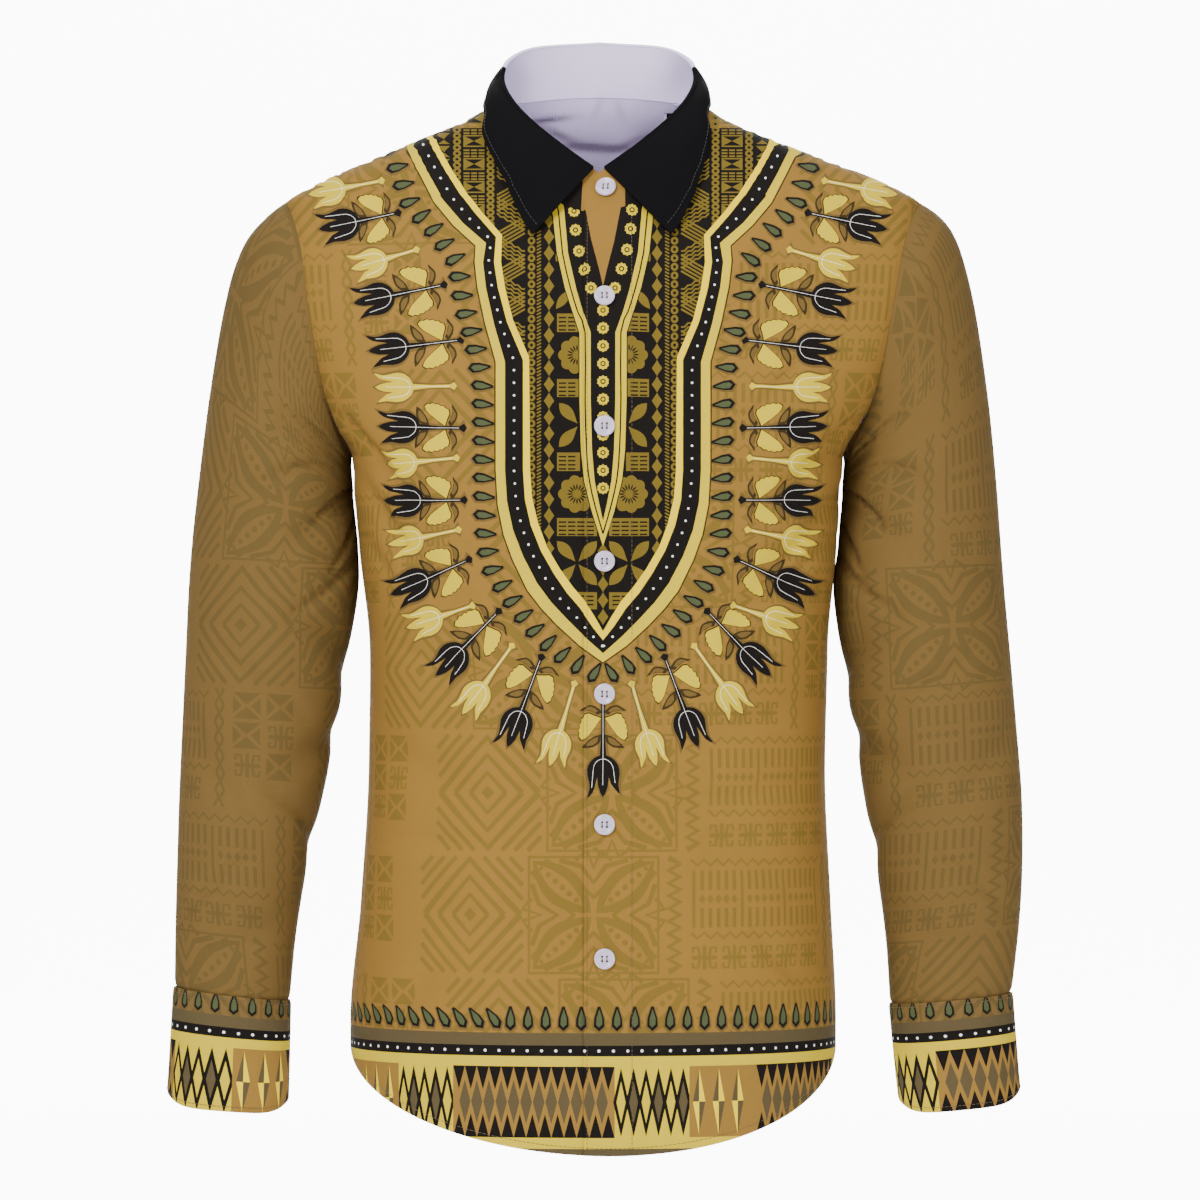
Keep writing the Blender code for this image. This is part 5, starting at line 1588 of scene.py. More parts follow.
def shell(
    name: str,
    cut: Cut,
    surface: Surface,
    outward: int,
    thickness: float,
    flat: Array,
    material: bpy.types.Material,
    inside: Ink = Ink.INSIDE,
) -> bpy.types.Object:
    """Hangs a flat cut on a surface as a thin closed shell.

    Args:
        name: the piece's name.
        cut: the flat cloth.
        surface: where each flat place lies.
        outward: 1 if the surface's own normals face out, else -1.
        thickness: the cloth's thickness.
        flat: cloth coordinates of each point, for the weave.
        material: its finish.
        inside: the ink of the side that isn't printed.

    Returns:
        The object.
    """
    u, v = cut.points[:, 0], cut.points[:, 1]
    outer = surface.place(u, v)
    normals = surface.normals(u, v) * outward
    count = len(outer)
    triangles = cut.triangles
    a, b, c = (outer[triangles[:, i]] for i in range(3))
    facing = np.sum(np.cross(b - a, c - a) * normals[triangles[:, 0]], axis=1)
    if np.median(np.sign(facing)) < 0:
        triangles = triangles[:, ::-1]
    edges = np.concatenate([triangles[:, [0, 1]], triangles[:, [1, 2]], triangles[:, [2, 0]]])
    keys = np.sort(edges, axis=1)
    _, first, uses = np.unique(keys, axis=0, return_index=True, return_counts=True)
    rim = edges[first[uses == 1]]
    rim_a = np.stack([rim[:, 1], rim[:, 0], rim[:, 0] + count], axis=-1)
    rim_b = np.stack([rim[:, 1], rim[:, 0] + count, rim[:, 1] + count], axis=-1)
    points = np.concatenate([outer, outer - normals * thickness])
    faces = np.concatenate([triangles, triangles[:, ::-1] + count, rim_a, rim_b])
    side = np.cross(points[rim_a[:, 1]] - points[rim_a[:, 0]], points[rim_a[:, 2]] - points[rim_a[:, 0]])
    corner = np.concatenate([normals, -normals])[faces]
    corner[-2 * len(rim) :] = np.concatenate([side, side])[:, None, :]
    plain = np.tile(np.array(inside.rgba), (len(triangles), 1))
    middles = points[rim_a].mean(axis=1)
    at_neck = (middles[:, 2] > NECK_SIDE_Z - 0.002) & (middles[:, 1] > -0.03) & (np.abs(middles[:, 0]) < 0.09)
    elsewhere = Ink.GROUND if inside == Ink.INSIDE else inside
    edge_ink = np.where(at_neck[:, None], np.array(inside.rgba), np.array(elsewhere.rgba))
    inks = np.repeat(np.concatenate([cut.inks, plain, edge_ink, edge_ink]), 3, axis=0)
    if inside == Ink.INSIDE:
        inner = slice(3 * len(triangles), 6 * len(triangles))
        corners = faces.ravel()[inner]
        places = points[corners]
        # The inner side behind the neck gets its painted fold shadow here.
        inks[inner] = inside_tone(places)
        hem = np.isin(corners, rim + count).reshape(-1, 3).any(axis=1).repeat(3)
        hem &= (places[:, 2] < NECK_SIDE_Z - 0.03) | (np.abs(places[:, 0]) > 0.09)
        hem &= places[:, 2] > HEM_SIDE_Z + 0.004
        inks[corners.size :][: corners.size][hem] = Ink.GROUND.rgba
    return mesh_object(name, points, faces, corner, inks, np.concatenate([flat, flat]), material)


def band_edge(u: Array, v: Array) -> Array:
    """The closed edge of a straight band, from its places across and along."""
    sides = (
        (u, 0 * u + v[0]),
        (0 * v[1:] + u[-1], v[1:]),
        (u[-2::-1], 0 * u[1:] + v[-1]),
        (0 * v[1:-1] + u[0], v[-2:0:-1]),
    )
    return np.concatenate([np.stack(side, axis=-1) for side in sides])


def grid_cut(u: Array, v: Array, ink: Ink) -> Cut:
    """A plain cut of one ink over even rows and columns.

    Args:
        u: places across.
        v: places along.
        ink: its colour.

    Returns:
        The cut.
    """
    uu, vv = np.meshgrid(u, v)
    points = np.stack([uu.ravel(), vv.ravel()], axis=-1)
    r, c = np.meshgrid(np.arange(len(v) - 1), np.arange(len(u) - 1), indexing="ij")
    a = (r * len(u) + c).ravel()
    quads = np.stack([a, a + 1, a + 1 + len(u), a + len(u)], axis=-1)
    triangles = np.concatenate([quads[:, [0, 1, 2]], quads[:, [0, 2, 3]]])
    return Cut(points, triangles, np.tile(np.array(ink.rgba), (len(triangles), 1)))


@dataclass
class Stitching:
    """Rows of small stitches that lie on the cloth."""

    name: str
    length: float = 0.0024
    gap: float = 0.0009
    half_width: float = 0.00028
    points: list[Array] = field(default_factory=list)
    faces: list[Array] = field(default_factory=list)
    count: int = 0

    def row(self, path: Array, normals: Array) -> None:
        """Adds a row of stitches.

        Args:
            path: points along the row.
            normals: the cloth's outward normals there.
        """
        reach = np.concatenate([[0], np.cumsum(np.linalg.norm(np.diff(path, axis=0), axis=1))])
        starts = np.arange(self.gap, reach[-1] - self.length, self.length + self.gap)
        stations = np.array([0.0, 0.12, 0.5, 0.88, 1.0])
        swell = np.array([0.25, 0.85, 1.0, 0.85, 0.25])
        angle = np.linspace(0, 2 * np.pi, 5)[:-1] + np.pi / 4
        at = starts[:, None] + stations * self.length
        centre = np.stack([np.interp(at, reach, path[:, i]) for i in range(3)], axis=-1)
        normal = unit(np.stack([np.interp(at, reach, normals[:, i]) for i in range(3)], axis=-1))
        along = unit(centre[:, -1:] - centre[:, :1])
        across = unit(np.cross(normal, along))
        ring = across[..., None, :] * np.cos(angle)[:, None] + normal[..., None, :] * np.sin(angle)[:, None] * 0.7
        body = centre[..., None, :] + ring * (swell * self.half_width)[:, None, None]
        points = body.reshape(-1, 3)
        faces = []
        for s in range(len(stations) - 1):
            for k in range(4):
                a, b = s * 4 + k, s * 4 + (k + 1) % 4
                faces += [(a, b, b + 4), (a, b + 4, a + 4)]
        last = (len(stations) - 1) * 4
        faces += [(0, 3, 2), (0, 2, 1), (last, last + 1, last + 2), (last, last + 2, last + 3)]
        block = np.array(faces)[None] + (np.arange(len(starts)) * len(stations) * 4)[:, None, None]
        self.points.append(points)
        self.faces.append(block.reshape(-1, 3) + self.count)
        self.count += len(points)

    def build(self, material: bpy.types.Material, slot: str) -> bpy.types.Object:
        """Makes one piece of all the rows."""
        points, faces = np.concatenate(self.points), np.concatenate(self.faces)
        inks = np.tile(np.array(Ink.TAN.rgba), (len(faces), 1))
        obj = mesh_object(self.name, points, faces, None, inks, points[:, [0, 2]], material)
        return finished(obj)


@dataclass
class BodyPanels:
    """The two fronts and the back, with their print, lap and hem."""

    form: BodyForm
    finish: Finish
    seam_sink: float = 0.0009
    seam_reach: float = 0.0035
    stitching: Stitching = field(default_factory=lambda: Stitching("body_stitching"))
    HEM_BLOCKS = (
        ("spears", 60.0, 166.0),
        ("lattice", 166.0, 243.5),
        ("stars", 243.5, 320.0),
        ("lattice", 385.0, 450.0),
        ("stars", 320.0, 385.0),
        ("spears", 450.0, 614.5),
        ("lattice", 614.5, 690.0),
        ("stars", 690.0, 762.0),
        ("spears", 762.0, 890.0),
        ("lattice", 890.0, 967.5),
        ("stars", 967.5, 1050.0),
        ("spears", 1050.0, 1151.0),
    )

    def turned(self, x: Array, z: Array) -> Array:
        """The flat coordinate across the body, from a place in the front view."""
        part = (x - self.form.centre(z)) / self.form.half_width(z)
        beyond = np.sign(part) * np.maximum(np.abs(part) - 1, 0)
        return TURN_RADIUS * (np.arcsin(np.clip(part, -1, 1)) + beyond)

    def front_x(self, u: Array, v: Array) -> Array:
        """The place across the front view of a flat coordinate."""
        turn = np.clip(u / TURN_RADIUS, -np.pi / 2, np.pi / 2)
        return self.form.centre(v) + self.form.half_width(v) * np.sin(turn)

    def half_outline(self, side: Side, face: Face, lap_x: float) -> Array:
        """A half panel's edge, from the hem's centre round by the side seam to the neck's centre.

        Args:
            side: the wearer's left or right.
            face: the front or the back.
            lap_x: where the panel's centre edge lies.

        Returns:
            The edge's points in flat coordinates.
        """
        quarter = TURN_RADIUS * math.pi / 2
        low = self.hem_z(np.array([lap_x]), face)[0]
        start = float(self.turned(np.array([lap_x]), np.array([low]))[0]) * side
        u = np.linspace(start, quarter, 70)
        hem = np.stack([u * side, self.form.hem_height(side * np.sin(u / TURN_RADIUS), face)], axis=-1)
        v = np.linspace(HEM_SIDE_Z, ARMPIT_Z, 105)[1:]
        seam = np.stack([np.full(len(v), quarter * side), v], axis=-1)
        rise = (1 - np.cos(np.linspace(0, np.pi, 72))) / 2
        v = ARMPIT_Z + (SHOULDER_Z - ARMPIT_Z) * rise[1:-1]
        arm_x = self.form.centre(v) + side * self.form.armhole_x(v)
        arm = np.stack([self.turned(arm_x, v), v], axis=-1)
        v = np.linspace(SHOULDER_Z, NECK_SIDE_Z, 40)
        ridge = np.stack([np.full(len(v), quarter * side), v], axis=-1)
        middle = float(self.form.centre(NECK_SIDE_Z))
        end = math.asin(np.clip((lap_x - middle) * side / NECK_HALF_WIDTH, -1, 1))
        x = middle + side * NECK_HALF_WIDTH * np.sin(np.linspace(math.pi / 2, end, 48)[1:])
        v = self.form.neck_height(x, face)
        neck = np.stack([self.turned(x, v), v], axis=-1)
        return np.concatenate([hem, seam, arm, ridge, neck])

    def hem_z(self, x: Array, face: Face) -> Array:
        """The hem's height at a place across the front view near the centre."""
        low = np.full(x.shape, HEM_SIDE_Z - HEM_DROP[face])
        return self.form.hem_height((x - self.form.centre(low)) / self.form.half_width(low), face)

    def outline(self, side: Side | None, face: Face) -> Array:
        """A whole panel's closed edge in flat coordinates."""
        if side is None:
            middle = float(self.form.centre(NECK_SIDE_Z))
            left = self.half_outline(Side.LEFT, face, middle)
            right = self.half_outline(Side.RIGHT, face, middle)
            return np.concatenate([left, right[::-1]])
        lap_x = BUTTON_LINE_X - side * LAP_HALF_X
        half = self.half_outline(side, face, lap_x)
        top, bottom = half[-1, 1], half[0, 1]
        v = np.linspace(top, bottom, 175)[1:-1]
        lap = np.stack([self.turned(np.full(len(v), lap_x), v), v], axis=-1)
        return np.concatenate([half, lap])

    def to_flat(self, motif: Motif, face: Face) -> Array:
        """A motif's outline in the body's flat coordinates."""
        points = densified(motif.points, PRINT_STEP)
        x, z = (points[:, 0] - MIDDLE_X) * PIXEL, (ORIGIN_Y - points[:, 1]) * PIXEL
        eye_x, eye_y, eye_z = EYE
        if motif.placed:
            sx, sz = x, z
            for _ in range(3):
                y = self.form.skin(sx, sz, face, fine=False)[0][:, 1]
                share = (y - eye_y) / -eye_y
                sx, sz = eye_x + (x - eye_x) * share, eye_z + (z - eye_z) * share
            return np.stack([self.turned(sx, sz), sz], axis=-1)
        x, z = x * CLOTH_NEARNESS, eye_z + (z - eye_z) * CLOTH_NEARNESS
        return np.stack([TURN_RADIUS * self.form.turn_at(x - self.form.centre(z), z, face), z], axis=-1)

    def motifs(self, face: Face) -> list[Motif]:
        """The print on one face of the body, lowest first."""
        found = TapaGround(11 if face == Face.FRONT else 23).blocks(180, 0, 1030, 1180)
        if face == Face.FRONT:
            found += Bib().motifs()
        return found + Border(1032.5).motifs(self.HEM_BLOCKS, 150, 1060, 1260, 508 if face == Face.FRONT else 0)

    def surface(self, side: Side | None, face: Face, edge: Array) -> Surface:
        """A panel's surface, drawn in along its seams and raised where it laps.

        Args:
            side: the front's side, or None for the back.
            face: the front or the back.
            edge: the panel's edge in flat coordinates.

        Returns:
            The surface.
        """
        seam = edge[np.abs(edge[:, 0]) > TURN_RADIUS * 0.9]
        seam = seam[(seam[:, 1] > HEM_SIDE_Z)]

        def place(u: Array, v: Array) -> Array:
            """Points of the panel at flat places."""
            x = self.front_x(u, v)
            raised = self.form.lap_raise(x) if side == Side.LEFT else np.zeros_like(x)
            near = np.full(u.shape, 1.0)
            close = np.abs(u) > TURN_RADIUS * 0.85
            if close.any():
                gaps = np.hypot(u[close][:, None] - seam[:, 0], v[close][:, None] - seam[:, 1])
                near[close] = gaps.min(axis=1)
            sink = self.seam_sink * np.exp(-((near / self.seam_reach) ** 2))
            return self.form.skin(x, v, face, raised - sink)[0]

        quarter = TURN_RADIUS * math.pi / 2
        return Surface(place, (-quarter, quarter), (-0.80, 0.03))

    def panel(self, node: str, side: Side | None, face: Face, prints: list[tuple[Array, Ink]]) -> bpy.types.Object:
        """Cuts and hangs one panel.

        Args:
            node: the node that it stands for.
            side: the front's side, or None for the back.
            face: the front or the back.
            prints: printed shapes in flat coordinates.

        Returns:
            The piece.
        """
        edge = self.outline(side, face)
        more = None
        if face == Face.BACK:
            across, up = np.arange(-0.078, 0.078, NECK_GRID), np.arange(-0.060, 0.03, NECK_GRID)
            x, z = (axis.ravel() for axis in np.meshgrid(across, up))
            more = np.stack([self.turned(x, z), z], axis=-1)
        cut = cut_cloth(edge, prints, CLOTH_GRID, more)
        surface = self.surface(side, face, edge)
        u, v = cut.points[:, 0], cut.points[:, 1]
        flat = np.stack([self.form.arc(u / TURN_RADIUS, v, face), v], axis=-1)
        obj = shell(f"{node}_cloth", cut, surface, -int(face), CLOTH_THICKNESS, flat, self.finish.body)
        return finished(obj, [node])

    def stitch(self) -> None:
        """Sews the placket line, the placket's edge and the hem."""
        z = np.linspace(-0.075, -0.742, 300)
        for line in (BUTTON_LINE_X + 0.0195, BUTTON_LINE_X - LAP_HALF_X + 0.0022):
            x = np.full(len(z), line)
            lift = self.form.lap_raise(x) + STITCH_LIFT
            self.stitching.row(*self.form.skin(x, z, Face.FRONT, lift))
        for face in Face:
            turn = np.linspace(-1.5, 1.5, 260)
            z = self.form.hem_height(np.sin(turn), face) + 0.0055
            x = self.form.centre(z) + self.form.half_width(z) * np.sin(turn)
            lift = self.form.lap_raise(x) * (x > BUTTON_LINE_X - LAP_HALF_X) * (face == Face.FRONT)
            self.stitching.row(*self.form.skin(x, z, face, lift + STITCH_LIFT))
        self.stitching.build(self.finish.tan_thread, "body_cloth")

    def build(self) -> None:
        """Makes the fronts, the back and their stitching."""
        prints = {face: [(self.to_flat(m, face), m.ink) for m in self.motifs(face)] for face in Face}
        left = self.panel("front_left", Side.LEFT, Face.FRONT, prints[Face.FRONT])
        right = self.panel("front_right", Side.RIGHT, Face.FRONT, prints[Face.FRONT])
        back = self.panel("back", None, Face.BACK, prints[Face.BACK])
        self.stitch()


def slanted_ring(form: BodyForm, side: Side, row: Sequence[float], angles: Array) -> tuple[Array, Array]:
    """A slanted ring of a sleeve or cuff.

    Args:
        form: the body beside it.
        side: the wearer's left or right.
        row: sizes, as RING_COLUMNS names them.
        angles: angles round it. 0 is outermost and a quarter turn faces front.

    Returns:
        Points and outward directions.
    """
    size = dict(zip(RING_COLUMNS, row))
    inner_x, inner_z = size["inner_x"], size["inner_z"]
    if inner_x == BESIDE_BODY:
        inner_x = side * form.centre(inner_z) + form.half_width(inner_z) + SLEEVE_CLEARANCE
    outer = np.array([side * size["outer_x"], -size["forward"], size["outer_z"]])
    inner = np.array([side * inner_x, -size["forward"], inner_z])
    half = (outer - inner) / 2
    wide, deep = np.linalg.norm(half), size["half_depth"]
    axis, front = half / wide, np.array([0.0, -1.0, 0.0])
    cosine, sine = np.cos(angles)[:, None], np.sin(angles)[:, None]
    points = (outer + inner) / 2 + half * cosine + front * deep * sine
    return points, unit(axis * cosine / wide + front * sine / deep)


@dataclass
class Sleeve:
    """A set-in sleeve, from the armhole's own loop down to the cuff."""

    form: BodyForm
    side: Side
    finish: Finish
    around: int = 168
    radius: float = 0.060
    tuck_reach: float = 0.0035
    head_tuck: tuple[float, float] = (0.0022, 0.0012)
    foot_tuck: tuple[float, float] = (0.003, 0.0022)

    def __post_init__(self) -> None:
        """Works out the sleeve's rows."""
        form, side = self.form, self.side
        angles = 2 * np.pi * np.arange(self.around) / self.around
        rise = (1 + np.cos(angles)) / 2
        z = ARMPIT_Z + (SHOULDER_Z - ARMPIT_Z) * rise
        x = form.centre(z) + side * form.armhole_x(z)
        parts = {face: form.skin(x, z, face, fine=False) for face in Face}
        in_front = (angles <= np.pi)[:, None]
        loop = np.where(in_front, parts[Face.FRONT][0], parts[Face.BACK][0])
        loop_normals = np.where(in_front, parts[Face.FRONT][1], parts[Face.BACK][1])
        tangent = unit(np.roll(loop, -1, axis=0) - np.roll(loop, 1, axis=0))
        out = unit(np.cross(tangent, loop_normals))
        out = out * np.sign(np.median(out[:, 0]) * side)
        start = loop + SLEEVE_SEAM_STEP * out
        half = self.around // 2
        depth = (loop[:, 1].max() - loop[:, 1].min()) / 2
        flat_row = (side * loop[0, 0], loop[0, 2], side * loop[half, 0], loop[half, 2], depth, 0.0)
        flat = slanted_ring(form, side, flat_row, angles)[0]
        down = smoothstep(-np.cos(angles) * 2 - UNDERARM_TURN)[:, None]
        rows, normals = [start], [unit(loop_normals * (1 - down) + np.array([0.0, 0.0, -1.0]) * down)]
        for index, row in enumerate(SLEEVE[side], start=1):
            points, outward = slanted_ring(form, side, row, angles)
            share = (1 - smoothstep(index / SETTLE_RINGS)) * smoothstep((np.cos(angles) + 1) * 2)
            rows.append(points + share[:, None] * (start - flat) * np.array([SETTLE_SHARE, 0.0, SETTLE_SHARE]))
            normals.append(outward)
        self.rows, self.normals = np.stack(rows), np.stack(normals)
        centres = self.rows.mean(axis=1)
        steps = np.linalg.norm(np.diff(centres, axis=0), axis=1)
        self.distances = np.concatenate([[0], np.cumsum(steps)])
        closed = np.concatenate([self.rows, self.rows[:, :1]], axis=1)
        self.girth = np.linalg.norm(np.diff(closed, axis=1), axis=2).sum(axis=1)

    def sampled(self, grid: Array, angle: Array, distance: Array) -> Array:
        """Smooth values of a grid of rows at angles and distances down the sleeve."""
        r = np.interp(distance, self.distances, np.arange(len(self.distances)))
        c = (angle / (2 * np.pi)) % 1.0 * self.around
        i, j = np.minimum(r.astype(int), len(grid) - 2), c.astype(int)
        found = np.zeros((*angle.shape, 3))
        for di, wi in zip((-1, 0, 1, 2), self.weights(r - i)):
            at = np.clip(i + di, 0, len(grid) - 1)
            for dj, wj in zip((-1, 0, 1, 2), self.weights(c - j)):
                found += (wi * wj)[..., None] * grid[at, (j + dj) % self.around]
        return found

    def weights(self, t: Array) -> tuple[Array, Array, Array, Array]:
        """The four weights of a smooth curve through points."""
        return (
            -0.5 * t + t**2 - 0.5 * t**3,
            1 - 2.5 * t**2 + 1.5 * t**3,
            0.5 * t + 2 * t**2 - 1.5 * t**3,
            -0.5 * t**2 + 0.5 * t**3,
        )

    def sink(self, angle: Array, distance: Array) -> Array:
        """How far the sleeve's cloth sinks in its creases."""
        depth = np.zeros(angle.shape)
        degrees = np.degrees(angle)
        rows = [(row, 1.0) for row in SLEEVE_CREASES] + [(row, FINE_DEPTH) for row in FINE_SLEEVE_CREASES]
        for row, share in rows:
            crease = dict(zip(SLEEVE_CREASE_COLUMNS, row))
            turn = (degrees - crease["angle_deg"] + 180) % 360 - 180
            part = np.clip(turn / crease["half_angle_deg"], -1, 1)
            off = distance - crease["distance"] - crease["slant"] * part
            across = np.exp(-((off / crease["half_width"]) ** 2))
            depth = depth + share * crease["depth"] * np.cos(np.pi / 2 * part) * across
        end = self.distances[-1]
        return depth * smoothstep(distance / CREASE_FADE_TOP) * smoothstep((end - distance) / CREASE_FADE_CUFF)

    def place(self, u: Array, v: Array) -> Array:
        """Points of the sleeve at flat places."""
        angle = u / self.radius
        head, foot = (np.exp(-((gap / self.tuck_reach) ** 2)) for gap in (v, self.distances[-1] - v))
        normal = unit(self.sampled(self.normals, angle, v))
        down = unit(self.sampled(self.rows, angle, v + 0.004) - self.sampled(self.rows, angle, v - 0.004))
        tucked = down * (self.foot_tuck[0] * foot - self.head_tuck[0] * head)[..., None]
        sink = self.sink(angle, v) + self.head_tuck[1] * head + self.foot_tuck[1] * foot
        return self.sampled(self.rows, angle, v) + tucked - normal * sink[..., None]

    def build(self, seed: int) -> None:
        """Args:
            seed: which blocks the cloth has.
        """
        node = f"sleeve_{self.side.name.lower()}"
        length = float(self.distances[-1])
        edge = band_edge(np.linspace(-np.pi, np.pi, 90) * self.radius, np.linspace(0, length, 110))
        prints = []
        for motif in TapaGround(seed, Ink.SHADE).blocks(-370, -20, 370, 870):
            points = densified(motif.points, PRINT_STEP) * PIXEL
            girth = np.interp(points[:, 1], self.distances, self.girth)
            u = points[:, 0] / girth * 2 * np.pi * self.radius
            prints.append((np.stack([u, points[:, 1]], axis=-1), motif.ink))
        cut = cut_cloth(edge, prints, SLEEVE_GRID)
        surface = Surface(self.place, (-np.pi * self.radius * 1.01, np.pi * self.radius * 1.01), (0.0, length))
        u, v = cut.points[:, 0], cut.points[:, 1]
        girth = np.interp(v, self.distances, self.girth)
        flat = np.stack([u * girth / (2 * np.pi * self.radius), v], axis=-1)
        sample_u, sample_v = np.array([0.0, 0.05, -0.05]), np.array([0.3, 0.3, 0.3])
        outward = surface.facing(sample_u, sample_v, self.sampled(self.normals, sample_u / self.radius, sample_v))
        obj = shell(f"{node}_cloth", cut, surface, outward, CLOTH_THICKNESS, flat, self.finish.sleeve)
        finished(obj, [node])


@dataclass
class Cuff:
    """A barrel cuff that laps behind the wrist, with its border print."""

    form: BodyForm
    side: Side
    finish: Finish
    radius: float = 0.040
    top_y: float = 985.0
    foot_y: float = 1101.0

    def __post_init__(self) -> None:
        """Works out how far round the band goes and how tall it is."""
        self.turns = 2 * math.pi + CUFF_OVERLAP
        self.height = (self.foot_y - self.top_y) * PIXEL

    def place(self, u: Array, v: Array) -> Array:
        """Points of the cuff at flat places."""
        return self.at(u / self.radius, np.clip(v / self.height, 0, 1))[0]

    def at(self, along: Array, part: Array) -> tuple[Array, Array]:
        """Points and outward directions at a turn along the band and a share down it."""
        top_row, bottom_row = (np.array(row) for row in CUFF[self.side])
        angles = CUFF_SEAM_ANGLE + along
        top, top_out = slanted_ring(self.form, self.side, top_row, angles)
        foot, foot_out = slanted_ring(self.form, self.side, bottom_row, angles)
        share = part[:, None]
        points, outward = top + (foot - top) * share, unit(top_out + (foot_out - top_out) * share)
        points[:, 2] += CUFF_CORNER_RISE * np.abs(np.cos(angles)) ** CUFF_CORNER_POWER * part**3
        start = self.turns - CUFF_OVERLAP * CUFF_STEP_START
        step = CUFF_RAISE * smoothstep((along - start) / (CUFF_OVERLAP * CUFF_STEP_LENGTH))
        edge = 0.0006 * (np.exp(-((part / 0.03) ** 2)) + np.exp(-(((1 - part) / 0.03) ** 2)))
        return points + outward * (step - edge)[:, None], outward

    def build(self, stitching: Stitching) -> None:
        """Args:
            stitching: where its rows of stitches go.
        """
        node = f"cuff_{self.side.name.lower()}"
        width = self.turns * self.radius
        edge = band_edge(np.linspace(0, width, 90), np.linspace(0, self.height, 26))
        across = width / PIXEL
        blocks = []
        styles = ("lattice", "stars", "spears")
        start, index = (-143.7, 0) if self.side == Side.RIGHT else (0.0, 1)
        while start < across:
            span = (64.5, 62.0, 103.2)[index % 3]
            blocks.append((styles[index % 3], start, start + span))
            start, index = start + span, index + 1
        motifs = TapaGround(5, Ink.SHADE).blocks(0, 900, across, 1010)
        border = Border(1005, 17.3, 13.4, 0.94)
        motifs += border.motifs(blocks, -10, across + 10, 1130, 0)
        prints = []
        for motif in motifs:
            points = densified(motif.points, PRINT_STEP) - (0, self.top_y)
            prints.append((points * PIXEL, motif.ink))
        cut = cut_cloth(edge, prints, CUFF_GRID)
        surface = Surface(self.place, (0.0, width), (0.0, self.height))
        u, v = np.array([0.06, 0.1]), np.array([0.04, 0.05])
        outward = surface.facing(u, v, self.at(u / self.radius, v / self.height)[1])
        obj = shell(f"{node}_cloth", cut, surface, outward, DOUBLED_THICKNESS, cut.points, self.finish.cuff)
        finished(obj, [node])
        along = np.linspace(0.02, self.turns - 0.02, 200)
        for part in (0.035, 0.955):
            points, outward = self.at(along, np.full(len(along), part))
            stitching.row(points + outward * 0.0002, outward)

    def button(self) -> tuple[Array, Array]:
        """Where the cuff's button lies and which way it faces."""
        along = np.array([self.turns * 28 / 30])
        points, outward = self.at(along, np.array([0.5]))
        return points[0], outward[0]


